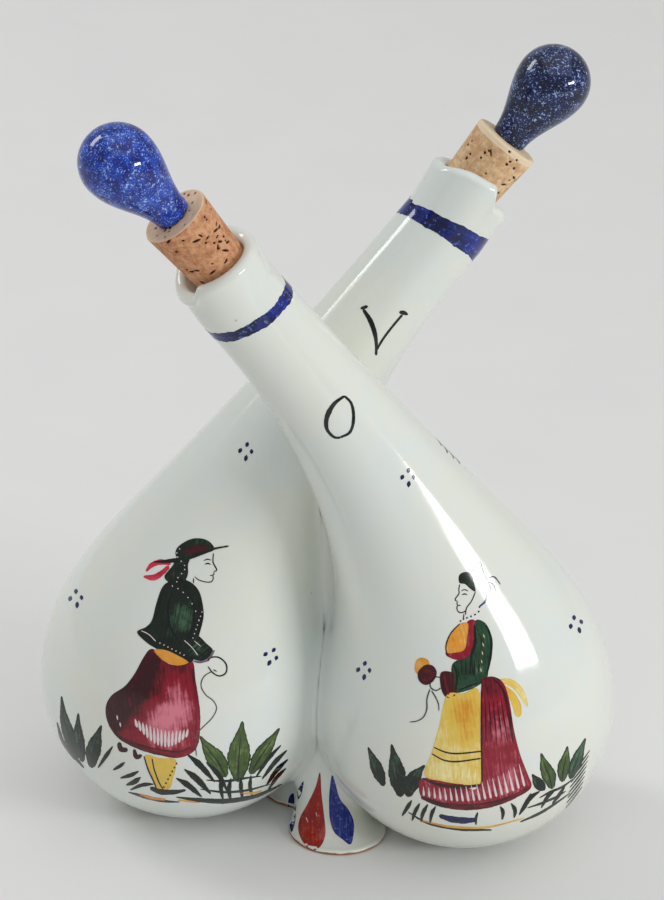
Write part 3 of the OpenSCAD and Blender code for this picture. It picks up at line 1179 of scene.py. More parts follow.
def smooth_path(path: np.ndarray, step: float, closed: bool = False) -> np.ndarray:
    """Return evenly spaced points on a smooth curve through the given ones.

    Args:
        path: Points as rows of x and y.
        step: Wanted spacing.
        closed: Whether the curve runs back to its first point, which isn't given twice.

    Returns:
        Points as rows.
    """
    p = np.asarray(path, float)
    if closed:
        q, spans = np.concatenate([p[-1:], p, p[:2]]), len(p)
    else:
        q, spans = np.concatenate([2 * p[:1] - p[1:2], p, 2 * p[-1:] - p[-2:-1]]), len(p) - 1
    t = np.linspace(0, 1, 12, endpoint=False)[:, None]
    pieces = []
    for i in range(spans):
        a, b, c, d = q[i], q[i + 1], q[i + 2], q[i + 3]
        pieces.append(0.5 * (2 * b + (c - a) * t + (2 * a - 5 * b + 4 * c - d) * t**2
                             + (3 * b - a - 3 * c + d) * t**3))
    dense = np.concatenate(pieces + [p[:1] if closed else p[-1:]])
    length = np.concatenate([[0], np.cumsum(np.linalg.norm(np.diff(dense, axis=0), axis=1))])
    at = np.linspace(0, length[-1], max(3, round(length[-1] / step)) + 1)
    even = np.stack([np.interp(at, length, dense[:, k]) for k in (0, 1)], axis=1)
    return even[:-1] if closed else even


@dataclass
class Patch:
    """One mark as flat faces in the picture, before it is laid on the body."""

    points: np.ndarray
    faces: Faces
    brush: np.ndarray
    edge: np.ndarray
    load: np.ndarray


@dataclass(frozen=True)
class Stroke:
    """A pull of the brush along a path, with its widths from start to end in pixels."""

    paint: Paint
    widths: tuple[float, ...]
    path: tuple[Spot, ...]
    layer: int = 3
    load: float = 0.6

    def patch(self) -> Patch:
        """Return the stroke as a ribbon with rounded ends and slightly unsteady edges.

        Returns:
            The ribbon.
        """
        line = smooth_path(np.array(self.path), 1.5)
        steps = np.concatenate([[0], np.cumsum(np.linalg.norm(np.diff(line, axis=0), axis=1))])
        total = steps[-1]
        given = np.array(self.widths if len(self.widths) > 1 else self.widths * 2)
        share = steps / total
        width = np.interp(share, np.linspace(0, 1, len(given)), given)
        for gap, w in ((steps, given[0]), (total - steps, given[-1])):
            cap = max(0.3, min(w / 2, total / 2))
            width = width * np.sqrt(np.clip(1 - np.clip(1 - gap / cap, 0, 1)**2, 0.02, 1))
        width = width * (1 + 0.07 * np.sin(steps * 0.9 + self.path[0][0]) * np.sin(steps * 0.37))
        ahead = np.gradient(line, axis=0)
        ahead /= np.linalg.norm(ahead, axis=1)[:, None]
        sideways = np.stack([-ahead[:, 1], ahead[:, 0]], axis=1)
        rows = 3 if given.max() < 4 else 5 if given.max() < 10 else 9
        across = np.linspace(-1, 1, rows)
        reach = (width[:, None] * across / 2)[:, :, None]
        points = (line[:, None] + sideways[:, None] * reach).reshape(-1, 2)
        faces = [(i * rows + j, (i + 1) * rows + j, (i + 1) * rows + j + 1, i * rows + j + 1)
                 for i in range(len(line) - 1) for j in range(rows - 1)]
        brush = np.stack([np.repeat(steps, rows) / 4, (width[:, None] * across / 8).ravel() + 7], axis=1)
        edge = (width[:, None] * (1 - np.abs(across)) / 8).ravel()
        load = np.repeat(self.load + 0.2 * (0.5 - share), rows)
        return Patch(points, faces, brush, edge, load)


@dataclass(frozen=True)
class Wash:
    """A filled shape with a smooth outline, brushed in one direction given in degrees.

    Its pools are places where the paint is fuller or thinner, each as x, y, radius and amount.
    """

    paint: Paint
    outline: tuple[Spot, ...]
    layer: int = 0
    grain: float = 90.0
    load: float = 0.5
    pools: tuple[tuple[float, float, float, float], ...] = ()
    step: float = 2.0

    def patch(self) -> Patch:
        """Return the shape as triangles.

        Returns:
            The filled shape.
        """
        rim = smooth_path(np.array(self.outline), self.step, closed=True)
        low, high = rim.min(0), rim.max(0)
        grid = np.stack(np.meshgrid(np.arange(low[0], high[0], 3.2), np.arange(low[1], high[1], 3.2)), -1)
        grid = grid.reshape(-1, 2)
        gap = np.linalg.norm(grid[:, None] - rim[None], axis=2).min(1)
        inner = grid[gap > 1.5]
        given = [Vector(p) for p in np.concatenate([rim, inner])]
        spots, _, faces, *_ = delaunay_2d_cdt(given, [], [list(range(len(rim)))], 1, 1e-4)
        points = np.array([list(p) for p in spots])
        edge = np.linalg.norm(points[:, None] - rim[None], axis=2).min(1) / 4
        turn = math.radians(self.grain)
        turned = points @ np.array([[math.cos(turn), -math.sin(turn)], [math.sin(turn), math.cos(turn)]])
        load = np.full(len(points), self.load)
        for x, y, radius, amount in self.pools:
            load += amount * np.exp(-((points[:, 0] - x)**2 + (points[:, 1] - y)**2) / radius**2)
        return Patch(points, [tuple(f) for f in faces], turned / 4, edge, load)


Mark = Stroke | Wash


def dab(paint: Paint, x: float, y: float, long: float, width: float, turn: float, layer: int = 4) -> Stroke:
    """Return a short touch of the brush, turned in degrees from upright.

    Args:
        paint: Its colour.
        x: Its middle, across.
        y: Its middle, down.
        long: Its length.
        width: Its greatest width.
        turn: Its turn.
        layer: How far up it lies.

    Returns:
        The touch.
    """
    dx, dy = math.sin(math.radians(turn)) * long / 2, -math.cos(math.radians(turn)) * long / 2
    widths = (width * 0.5, width, width * 0.7)
    return Stroke(paint, widths, ((x - dx, y - dy), (x, y), (x + dx, y + dy)), layer)


def leaf(paint: Paint, width: float, *path: Spot) -> list[Stroke]:
    """Return a pointed leaf from its base to its tip, with its darker vein.

    Args:
        paint: Its colour.
        width: Its greatest width.
        *path: Points of its middle line.

    Returns:
        The dark outline, the leaf and the vein.
    """
    shape = np.array((0.24, 0.62, 0.94, 1.0, 0.86, 0.56, 0.24, 0.04)) * width
    line = smooth_path(np.array(path), 2.0)
    mid = tuple(map(tuple, line[: len(line) * 4 // 5]))
    return [
        Stroke(Paint.PINE, tuple(shape + 1.3), path, layer=1, load=0.5),
        Stroke(paint, tuple(shape - 0.5), path, layer=2, load=0.42),
        Stroke(Paint.PINE, (0.8, 1.3, 0.9, 0.4), mid, load=0.4),
    ]


@dataclass
class Decor:
    """A piece of painting that grows mark by mark, as thin closed sheets on the glaze."""

    name: str
    body: CruetBody
    points: list[Vector] = field(default_factory=list)
    faces: Faces = field(default_factory=list)
    flat: list[bool] = field(default_factory=list)
    paints: list[Paint] = field(default_factory=list)
    normals: list[Vector] = field(default_factory=list)
    brush: list[Spot] = field(default_factory=list)
    edge: list[float] = field(default_factory=list)
    load: list[float] = field(default_factory=list)
    count: int = 0
    widest: float = 4.0
    sunk: float = 0.05

    def paint(self, marks: list[Mark], view: View) -> None:
        """Paint marks that are given in the picture of a view.

        Args:
            marks: The marks, the lowest first.
            view: The view.
        """
        eye = view.place
        for mark in marks:
            patch = mark.patch()
            spots = [self.body.touch(eye, view.ray(*p)) for p in patch.points]
            self.lay(patch, spots, mark.paint, mark.layer)

    def lay(self, patch: Patch, spots: list[tuple[Vector, Vector] | None], paint: Paint, layer: int) -> None:
        """Add a patch as a closed sheet that is sunk a little into the glaze.

        Args:
            patch: The flat mark.
            spots: For each of its points the place and direction of the body's surface, where it has one.
            paint: Its colour.
            layer: How far up it lies among marks that overlap.
        """
        lift = (0.03 + 0.012 * layer + 0.0002 * (self.count % 50)) * MM
        self.count += 1
        kept = []
        for face in patch.faces:
            if any(spots[k] is None for k in face):
                continue
            corners = [spots[k][0] for k in face]
            if max((a - b).length for a, b in zip(corners, corners[1:] + corners[:1])) > self.widest * MM:
                continue
            turn = (corners[1] - corners[0]).cross(corners[2] - corners[0])
            kept.append(face if turn.dot(spots[face[0]][1]) > 0 else face[::-1])
        number: dict[int, int] = {}
        for face in kept:
            for k in face:
                number.setdefault(k, len(number))
        if not number:
            return
        start, count = len(self.points), len(number)
        for k in number:
            spot, normal = spots[k]
            self.points.append(spot + normal * lift)
        self.points += [spots[k][0] - spots[k][1] * self.sunk * MM for k in number]
        for _ in range(2):
            self.edge += [float(patch.edge[k]) for k in number]
            self.load += [float(patch.load[k]) for k in number]
        edges = {(f[i - 1], f[i]) for f in kept for i in range(len(f))}
        walls = [(a, b) for a, b in edges if (b, a) not in edges]
        for face in kept:
            self.add_face([start + number[k] for k in face], [spots[k][1] for k in face],
                          [patch.brush[k] for k in face], paint, False)
            self.add_face([start + count + number[k] for k in face[::-1]], [-spots[k][1] for k in face[::-1]],
                          [patch.brush[k] for k in face[::-1]], paint, False)
        for a, b in sorted(walls):
            corners = [start + number[b], start + number[a], start + count + number[a],
                       start + count + number[b]]
            self.add_face(corners, [Vector()] * 4, [patch.brush[k] for k in (b, a, a, b)], paint, True)

    def add_face(self, corners: list[int], normals: list[Vector], brush: list[np.ndarray], paint: Paint,
                 flat: bool) -> None:
        """Add one face with its directions and its place under the brush.

        Args:
            corners: Numbers of its points.
            normals: Directions at its corners.
            brush: Places under the brush at its corners.
            paint: Its colour.
            flat: Whether it is shaded flat.
        """
        self.faces.append(tuple(corners))
        self.normals += normals
        self.brush += [tuple(b) for b in brush]
        self.paints.append(paint)
        self.flat.append(flat)

    def finish(self, palette: dict[Paint, bpy.types.Material]) -> bpy.types.Object:
        """Make the piece.

        Args:
            palette: Material of each paint, filled as paints are first used.

        Returns:
            The piece, riding on the body.
        """
        used = list(dict.fromkeys(self.paints))
        for paint in used:
            if paint not in palette:
                palette[paint] = paint.value.build()
        piece = new_piece(self.name, np.array(self.points), self.faces, [palette[p] for p in used], 1.0)
        mesh = piece.data
        mesh.polygons.foreach_set("material_index", [used.index(p) for p in self.paints])
        mesh.polygons.foreach_set("use_smooth", [not f for f in self.flat])
        layer = mesh.uv_layers.new(name="brush")
        layer.data.foreach_set("uv", np.array(self.brush, dtype=np.float32).ravel())
        for name, values in (("edge", self.edge), ("load", self.load)):
            given = mesh.attributes.new(name, "FLOAT", "POINT")
            given.data.foreach_set("value", np.array(values, dtype=np.float32))
        mesh.normals_split_custom_set(self.normals)
        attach(piece, "body")
        return piece


# The decor


@dataclass
class NeckBand:
    """A sponged blue band round one neck, a little askew as the wheel left it."""

    side: Side
    below: float
    askew: Spot
    half: float
    shape: BottleShape = field(default_factory=BottleShape)

    def add_to(self, decor: Decor) -> None:
        """Lay the band round its neck.

        Args:
            decor: The piece to paint it in.
        """
        sides, rows = 160, 7
        spots, brush, edge, load = [], [], [], []
        for i in range(sides):
            a = 2 * math.pi * i / sides
            middle = self.below + self.askew[0] * math.cos(a) + self.askew[1] * math.sin(a)
            for j in range(rows):
                v = 2 * j / (rows - 1) - 1
                ragged = 0.12 * math.sin(7 * a + 2 * v + self.below) + 0.06 * math.sin(17 * a - v)
                ragged += 0.05 * math.sin(31 * a + 3 * v)
                spots.append(decor.body.nearest(self.neck_point(middle + self.half * v + ragged * abs(v), a)))
                brush.append((a * 11, v * self.half + 3))
                edge.append((1 - abs(v)) * self.half)
                load.append(0.76 + 0.16 * math.sin(3 * a + self.below) + 0.1 * math.sin(9 * a))
        faces = [(i * rows + j, (i + 1) % sides * rows + j, (i + 1) % sides * rows + j + 1, i * rows + j + 1)
                 for i in range(sides) for j in range(rows - 1)]
        patch = Patch(np.zeros((len(spots), 2)), faces, np.array(brush), np.array(edge), np.array(load))
        decor.lay(patch, spots, Paint.COBALT, 2)

    def neck_point(self, below: float, a: float) -> Vector:
        """Return a point just outside the neck, at a distance below the mouth and an angle around it.

        Args:
            below: The distance in millimetres.
            a: The angle in radians.

        Returns:
            The point in metres.
        """
        s = self.shape
        if below <= s.collar_l:
            c, d, r = s.mouth - s.out * below, s.out, s.neck_r
        else:
            t = 1.0
            while np.linalg.norm(s.curve(t) - s.line[3]) < below - s.collar_l:
                t -= 0.001
            c, d, r = s.curve(t), s.heading(t), s.swell(t)
            d = d / np.linalg.norm(d)
        h, z = c[0] + (r + 0.2) * math.cos(a) * d[1], c[1] - (r + 0.2) * math.cos(a) * d[0]
        return Vector(s.place(np.array([-h, (r + 0.2) * math.sin(a), z]), self.side)) * MM


@dataclass(frozen=True)
class Lettering:
    """The plain brush letters that tell oil from vinegar."""

    def marks(self) -> list[Mark]:
        """Return the letters' strokes.

        Returns:
            The marks, the lowest first.
        """
        return [
            Stroke(Paint.INK, (2.4, 3.6, 5.2, 4.4, 2.8, 2.2), ((345, 395.5), (334, 404), (327, 417),
                (327, 429), (334, 437), (341, 437.5)), layer=2),
            Stroke(Paint.INK, (2.2, 2.8, 3.2, 2.8, 2.2), ((340, 437.5), (350, 432), (353.5, 419),
                (351.5, 404), (344, 395.5))),
            Stroke(Paint.INK, (2.6, 4.6, 5.0, 4.2, 3.0, 2.6), ((363, 309), (370, 320), (374.5, 332),
                (376.3, 344), (376, 355.5)), layer=2),
            Stroke(Paint.INK, (2.4, 2.2, 2.4, 2.0), ((402.5, 314.5), (392, 327), (383, 339), (376.6, 350))),
            Stroke(Paint.INK, (3.4, 3.0), ((360.5, 308.6), (364, 307.6), (368, 306)), layer=4),
            Stroke(Paint.INK, (3.2, 4.2, 2.4), ((399, 312.2), (403.5, 312.6), (408, 314.6)), layer=4),
        ]


@dataclass(frozen=True)
class Scatter:
    """Blue four-dot motifs strewn over the ground, each with its place and its turn."""

    places: tuple[tuple[float, float, float], ...] = (
        (246, 451, 10), (76, 598, 0), (271, 656, 24), (408, 477, 4), (364, 670, 8), (576, 624, -18))

    dots: tuple[tuple[float, float, float, float], ...] = (
        (0, -6.6, 5.4, 12), (-5.8, 0.6, 5.6, 22), (5.6, -0.4, 5.2, -6), (1.2, 7, 6.6, 4))

    def marks(self) -> list[Mark]:
        """Return the dots.

        Returns:
            The marks, the lowest first.
        """
        marks: list[Mark] = []
        for x, y, turn in self.places:
            c, s = math.cos(math.radians(turn)), math.sin(math.radians(turn))
            for dx, dy, long, askew in self.dots:
                spot = x + dx * c - dy * s, y + dx * s + dy * c
                marks.append(dab(Paint.NAVY, *spot, long, 3.8, turn + askew, 3))
        return marks


@dataclass(frozen=True)
class FootPaint:
    """The flared foot's petals: a red one between two blue ones."""

    def marks(self) -> list[Mark]:
        """Return the petals.

        Returns:
            The marks, the lowest first.
        """
        return [
            Wash(Paint.BRICK, ((320, 772), (315.5, 787), (308, 803), (300, 818), (298.5, 831), (304, 843.5),
                (313, 850.5), (321.5, 845), (325.5, 833), (324, 815), (321.5, 793)), layer=1),
            Wash(Paint.COBALT, ((332, 775), (329.5, 791), (329, 806), (330, 820), (334, 832), (342, 839),
                (350.5, 844.5), (353.5, 834), (353.5, 821), (348, 809), (340, 799), (335.5, 784)), layer=1),
            # The left petal is laid in the darker navy rather than cobalt: painted shade for the foot's left
            # flank, which turns away from the light.
            Wash(Paint.NAVY, ((303.5, 781), (297.5, 790), (289.5, 796.5), (288, 811), (291, 832),
                (295, 822), (296.5, 804), (301.5, 794)), layer=1),
            Stroke(Paint.MILK, (1.0, 0.6), ((306, 817), (308, 822)), layer=2),
            Stroke(Paint.MILK, (0.8, 0.5), ((316, 812), (317, 817)), layer=2),
        ]


@dataclass(frozen=True)
class Lad:
    """The folk lad on the left: round hat with a ribbon, dark jacket, wide crimson breeches and gaiters."""

    def marks(self) -> list[Mark]:
        """Return the whole figure, from the back layers to the front."""
        return [*self.head(), *self.jacket(), *self.breeches(), *self.legs()]

    def head(self) -> list[Mark]:
        """Return the hat, the ribbon, the hair and a calm, plain face.

        Returns:
            The marks.
        """
        marks: list[Mark] = [
            Stroke(Paint.ROSE, (3.0, 5.6, 5.0, 2.0), ((171, 564), (161, 562), (152, 565), (146, 571.5)),
                layer=2),
            Stroke(Paint.ROSE, (3.6, 5.0, 6.4, 2.2), ((169, 566), (163, 572), (154, 577.5), (143.5, 576.5)),
                layer=2),
            Wash(Paint.PINE, ((180, 552), (190, 556), (188, 565), (188, 574), (184, 582), (176, 583.5),
                (167, 581), (164.5, 576), (169, 570), (173, 565), (176, 559)), layer=2),
            Wash(Paint.PINE, ((176, 556), (176.5, 549), (183, 543), (193, 538.6), (204, 539),
                (211.5, 543.5), (214, 550), (203, 554), (190, 557.5), (181, 559.5)), layer=3),
            Wash(Paint.MAROON, ((184, 553.5), (187, 547.5), (197, 544.6), (207, 545.4), (209.5, 549.5),
                (200, 552), (191, 554.8)), layer=4, grain=10),
            Stroke(Paint.PINE, (1.4, 3.6, 4.6, 3.4, 3.0, 2.0, 1.6), ((154, 562), (165, 561.4), (177, 560),
                (190, 557.5), (203, 553), (215, 548.6), (229, 546)), layer=5),
            Stroke(Paint.INK, (1.1, 1.2, 1.4, 1.1), ((213.6, 553), (213, 559), (213.4, 563.2), (216.8, 570),
                (213.6, 571.6))),
            Stroke(Paint.INK, (1.0, 1.1, 0.9), ((213.6, 571.6), (214.2, 574), (212.6, 575.4),
                (213.4, 577.6), (211.6, 581.6), (206, 582), (199, 580), (194.5, 576.5))),
            Stroke(Paint.INK, (1.0, 1.5, 0.8), ((204.6, 564.4), (208, 563.4), (211, 564.6))),
            Stroke(Paint.INK, (0.8, 1.2, 0.8), ((203.6, 560.8), (207.6, 559.2), (211.4, 560.4))),
            Stroke(Paint.INK, (0.9, 1.1), ((209.8, 575.6), (212.8, 575.2))),
            Stroke(Paint.INK, (1.2, 1.0), ((193.6, 578), (193.4, 583.5))),
        ]
        for k in range(9):
            a = 1.5 + 0.42 * k
            marks.append(dab(Paint.MILK, 181 + 4.2 * math.sin(a * 2.3), 549 + 4.1 * k, 1.5, 1.3, 30 * k, 6))
        return marks

    def jacket(self) -> list[Mark]:
        """Return the jacket with its sleeve, cuff and seams, and the hand that holds a cord.

        Returns:
            The marks.
        """
        marks: list[Mark] = [
            Wash(Paint.PINE, ((172, 580), (182, 579), (192, 583), (199.5, 592), (203, 606), (203.5, 618),
                (199.5, 634), (196, 646), (193, 661), (183, 661), (170, 655), (157, 649), (146, 642),
                (137, 632), (146, 627), (152, 620), (156.5, 603), (162.5, 587)), layer=2, grain=100,
                load=0.72, pools=((182, 612, 14, -0.55), (178, 628, 10, -0.3), (150, 634, 8, -0.15))),
            Stroke(Paint.PINE, (1.6, 2.6, 2.2, 1.6), ((172, 592), (168, 608), (170, 626), (178, 640)),
                layer=3, load=0.95),
            Stroke(Paint.PINE, (1.4, 2.4, 1.8), ((188, 592), (194, 606), (194, 624), (189, 636)),
                load=0.95),
            Wash(Paint.PINE, ((184, 634), (197, 635), (206, 643), (213, 650.5), (209, 659.5), (198, 660.5),
                (186, 655), (180, 645)), layer=4, grain=140, load=0.66, pools=((198, 648, 9, -0.4),)),
            Stroke(Paint.PINE, (1.0, 1.6, 1.2), ((187, 645), (197, 651), (205, 657)), layer=5, load=0.9),
            Stroke(Paint.LILAC, (1.8, 2.6, 1.8), ((193, 661), (201, 662), (209, 658.5), (214.5, 650)),
                layer=5),
            Stroke(Paint.INK, (1.3, 1.5, 1.4, 1.2), ((207.5, 661.5), (211, 657.5), (219, 657.5), (226, 664),
                (226, 672.5), (219.5, 676), (212.5, 672.5), (207.8, 666)), layer=5),
            Stroke(Paint.INK, (1.0, 1.0), ((213, 669.5), (217, 671.5)), layer=5),
            Stroke(Paint.HAIRLINE, (1.0,), ((212.5, 671), (204, 676.5), (201, 685.5), (205.5, 694.5),
                (213.5, 701), (216.5, 708.5), (212, 718), (203, 727), (197, 734), (195.5, 744),
                (196.5, 756)), layer=5),
            Stroke(Paint.MILK, (0.9, 0.9), ((141, 630.5), (149, 634.5), (156, 641.5)), layer=5),
            Stroke(Paint.MILK, (0.8, 0.8), ((184, 640), (192, 647.5), (198, 655.5)), layer=6),
            Stroke(Paint.MILK, (0.7, 0.7), ((194, 640.5), (201, 646.5)), layer=6),
        ]
        for k in range(7):
            u = k / 6
            marks.append(dab(Paint.MILK, 172.5 + 2.5 * math.sin(3 * u) + 26 * u, 586 + 12 * u + 22 * u * u,
                1.5, 1.3, 0, 6))
            marks.append(dab(Paint.MILK, 202 - 9 * u, 612 + 26 * u, 1.4, 1.2, 20, 6))
            marks.append(dab(Paint.MILK, 160 + 24 * u, 643 + 12 * u, 1.6, 1.2, 60, 6))
        return marks

    def breeches(self) -> list[Mark]:
        """Return the yellow sash and the crimson breeches, with light creases at their hem.

        Returns:
            The marks.
        """
        marks: list[Mark] = [
            Wash(Paint.CRIMSON, ((149, 650), (155, 650), (163, 660), (173, 665), (185, 664), (193, 662),
                (195.5, 680), (198, 703), (200, 724), (199, 740), (195, 750), (186, 756), (174, 758),
                (160, 755), (144, 749.5), (127, 743), (115, 734.5), (107, 720), (106, 706), (112, 695),
                (125, 686), (135, 673), (142, 660)), layer=1, grain=84, load=0.56,
                pools=((150, 662, 14, 0.5), (140, 684, 18, 0.55), (122, 706, 20, 0.5), (112, 722, 12, 0.3),
                (166, 727, 22, -0.5), (180, 706, 14, -0.34), (156, 712, 12, -0.16), (176, 690, 10, -0.2),
                (183, 667, 9, 0.3))),
            Stroke(Paint.CRIMSON, (2.0, 3.4, 5.2, 6.4, 6.0, 4.0), ((109, 724), (119, 736.5), (135, 745),
                (155, 751), (176, 753.5), (193, 748)), load=0.78),
            Stroke(Paint.CRIMSON, (2.0, 3.6, 4.8, 4.4), ((192, 668), (195.5, 690), (198, 716),
                (196.5, 744)), load=0.62),
            Wash(Paint.OCHRE, ((154.5, 649.5), (165, 650), (175, 654), (188, 662), (178, 665.5), (166, 662),
                (158, 656)), layer=3, grain=20),
            Stroke(Paint.MAROON, (3.6, 5.4, 4.0), ((119, 742), (121, 749), (128, 750)), layer=2),
            Stroke(Paint.MAROON, (3.0, 4.6, 3.6), ((134, 749), (136.5, 757), (142, 755)), layer=2),
        ]
        for k in range(15):
            u = k / 14
            x, y = 135 + 53 * u, 718.5 + 9.5 * math.sin(2.3 * u) + 3 * u
            long = 9 + 9 * math.sin(math.pi * u)
            marks.append(Stroke(Paint.MILK, (0.6, 2.2, 2.9, 1.6), ((x, y),
                (x + 1.2 - 2.2 * u, y + long / 2), (x + 2.4 - 4.4 * u, y + long)), layer=4))
        for x, y in ((117, 715), (120, 722)):
            marks.append(Stroke(Paint.MILK, (0.8, 1.6, 0.8), ((x, y), (x + 0.8, y + 5)), layer=4))
        return marks

    def legs(self) -> list[Mark]:
        """Return the gaiters with their buttons, the shoes and the ground under them.

        Returns:
            The marks.
        """
        marks: list[Mark] = [
            Wash(Paint.YELLOW, ((145, 755), (160, 758), (175, 759), (176, 767), (173, 779), (169, 789),
                (158, 790), (153.5, 780), (148, 768)), grain=88),
            Stroke(Paint.PINE, (1.2, 1.5, 1.4), ((144, 756), (148, 769), (154, 782), (157, 790))),
            Stroke(Paint.PINE, (1.2, 1.3, 1.2), ((152, 758), (154.5, 770), (159, 782), (163, 789))),
            Stroke(Paint.PINE, (3.4, 5.6, 4.6, 2.0), ((150, 787.5), (160, 791.5), (174, 792), (186, 790))),
            Stroke(Paint.OCHRE, (1.6, 2.8, 2.0), ((139, 794), (152, 798), (166, 799.5)), layer=1),
            Stroke(Paint.BRICK, (1.4, 2.0, 1.2), ((134, 793), (146, 796.5), (158, 798.5)), layer=0),
            Stroke(Paint.YELLOW, (1.4, 2.4, 1.4), ((178, 800), (196, 801.5), (212, 800)), layer=1),
            Stroke(Paint.YELLOW, (1.2, 2.2, 1.2), ((240, 793.5), (252, 793), (262, 790.5))),
        ]
        for k in range(7):
            marks.append(dab(Paint.INK, 176.5 - 2.1 * k, 763.5 + 3.9 * k, 2.0, 2.0, 20, 4))
        return marks


@dataclass(frozen=True)
class Spinner:
    """The folk woman on the right: winged cap, green bodice with a bib, apron, crimson skirt and a bobbin."""

    def marks(self) -> list[Mark]:
        """Return the whole figure, from the back layers to the front."""
        return [*self.head(), *self.bodice(), *self.hand(), *self.skirt()]

    def head(self) -> list[Mark]:
        """Return the cap, the hair and a calm, plain face.

        Returns:
            The marks.
        """
        marks: list[Mark] = [
            Wash(Paint.PINE, ((459.5, 583), (458.8, 576), (463, 572.4), (470, 572.6), (473.5, 581),
                (475.5, 591.5), (470, 588.5), (465, 584)), layer=2, grain=60),
            Stroke(Paint.INK, (1.0, 1.2, 1.0), ((470.5, 573), (475, 567.5), (480, 562), (483.2, 571),
                (487.5, 581))),
            Stroke(Paint.INK, (1.0, 1.4, 1.0), ((487.5, 581), (490.5, 588), (488, 594.5))),
            Stroke(Paint.INK, (0.9, 1.2, 0.8), ((487, 579), (494, 576.8), (500.5, 584.5))),
            Stroke(Paint.INK, (0.9, 1.2, 0.8), ((488, 581.5), (493.5, 585), (496, 592))),
            Stroke(Paint.INK, (1.0, 1.1, 1.0), ((475.5, 591.5), (471.5, 601), (466.5, 608), (465.5, 615))),
            Stroke(Paint.COBALT, (1.6, 2.2, 1.4), ((486.5, 594), (485.5, 601), (479, 607))),
            Stroke(Paint.INK, (1.0, 1.1, 1.0), ((459.6, 584), (458.8, 590), (459, 593.4), (455, 599.6),
                (457.8, 601.4))),
            Stroke(Paint.INK, (1.0, 1.1, 1.0), ((457.8, 601.4), (456.8, 603.8), (458, 605.2),
                (456.8, 607.4), (458.2, 611.6), (462.4, 612.6), (467, 609.6))),
            Stroke(Paint.INK, (0.8, 1.4, 0.8), ((461.6, 595), (464.6, 593.8), (467.4, 595.2))),
            Stroke(Paint.INK, (0.8, 1.1, 0.8), ((461, 591), (464.6, 589.6), (468.4, 591.2))),
            Stroke(Paint.INK, (1.0, 0.8), ((457.8, 605.2), (461, 605.6))),
            Stroke(Paint.INK, (1.0, 1.1), ((464, 613.5), (463.4, 619))),
        ]
        beads = ((460.5, 621), (463.5, 619), (467, 617.8), (471, 616.4), (475, 614.6), (478.6, 611.6),
                 (479.5, 607))
        for x, y in beads:
            marks.append(dab(Paint.INK, x, y, 2.2, 1.9, 30, 4))
        return marks

    def bodice(self) -> list[Mark]:
        """Return the bib with its crimson edge, and the green bodice and sleeve.

        Returns:
            The marks.
        """
        marks: list[Mark] = [
            Wash(Paint.FERN, ((475, 621), (484, 622), (490, 631), (492.5, 643), (491, 656), (488.5, 668),
                (487, 678), (479, 685), (469, 690), (455, 692.5), (452, 681), (452, 665), (460, 659),
                (470, 655), (474, 640)), layer=1, grain=80, load=0.62, pools=((482, 640, 8, -0.3),
                (462, 672, 8, 0.2), (480, 668, 8, -0.15), (468, 688, 9, -0.3))),
            Wash(Paint.CRIMSON, ((467, 622), (475, 620.5), (475, 634), (472.5, 648), (469, 656), (458, 660),
                (447, 656), (446.5, 651), (456, 652), (463.5, 649), (466, 637)), layer=2, grain=80),
            Wash(Paint.OCHRE, ((459.5, 624), (468, 623.5), (467, 637), (464.5, 649.5), (455, 652.6),
                (447, 652.6), (446.6, 645), (451, 634)), layer=3, grain=75),
            Stroke(Paint.INK, (1.0, 1.3, 1.1), ((460, 623.5), (451, 633), (446, 645.5), (447.5, 656.5)),
                layer=4),
            Stroke(Paint.PINE, (1.6, 3.2, 2.4, 1.8), ((474.5, 624), (475, 643), (471, 658), (474, 676))),
            Stroke(Paint.PINE, (1.2, 2.4, 2.6, 1.4), ((485, 624), (491, 638), (490.5, 656), (487, 674))),
            Stroke(Paint.LEAF, (1.4, 3.6, 2.6, 1.0), ((479, 630), (482.5, 640), (482, 652), (479, 664)),
                layer=4),
            Stroke(Paint.PINE, (1.6, 2.2, 1.6), ((454, 664), (457, 676), (456, 690))),
            Stroke(Paint.PINE, (1.0, 1.8, 1.0), ((458, 690.5), (468, 686.5), (479, 682.5))),
        ]
        for k in range(5):
            marks.append(Stroke(Paint.MILK, (0.5, 1.0, 0.5), ((483 - 0.6 * k, 634 + 8.5 * k),
                (484.5 - 0.8 * k, 638 + 8.5 * k)), layer=5))
            marks.append(Stroke(Paint.PINE, (0.8, 1.6, 0.8), ((461 + 4.5 * k, 662 - 0.6 * k),
                (462 + 4.2 * k, 676 - 0.8 * k))))
        return marks

    def hand(self) -> list[Mark]:
        """Return the cuff, the hand, and the bobbin with its hanging threads.

        Returns:
            The marks.
        """
        return [
            Wash(Paint.MAROON, ((441, 672.5), (453, 673), (454.5, 684), (455.5, 695), (446.5, 697.5),
                (441, 688)), layer=3, grain=85),
            Stroke(Paint.CRIMSON, (1.2, 2.2, 1.4), ((444, 675), (446, 685), (449, 695)), layer=4),
            Stroke(Paint.INK, (1.0, 1.1, 1.0), ((441, 677.5), (435, 677), (431, 681), (430.5, 687),
                (436, 690.5), (441.5, 687.5)), layer=4),
            Wash(Paint.OCHRE, ((416, 661), (421.5, 657.6), (428, 660), (430, 667), (427, 674), (420, 675.5),
                (415, 670.5)), layer=2, grain=20),
            Wash(Paint.MAROON, ((421, 668), (427, 664.4), (434, 666.6), (436.8, 673.5), (433, 681.5),
                (425.5, 685), (419, 680.5), (417.8, 673)), layer=3, grain=20),
            Stroke(Paint.HAIRLINE, (1.3, 1.4, 1.1), ((430, 689), (427, 699), (426.8, 709), (423.5, 717),
                (417, 721), (409.5, 722))),
            Stroke(Paint.HAIRLINE, (1.2, 1.3, 1.0), ((431.5, 690.5), (435.5, 697), (438.5, 704),
                (439, 711))),
        ]

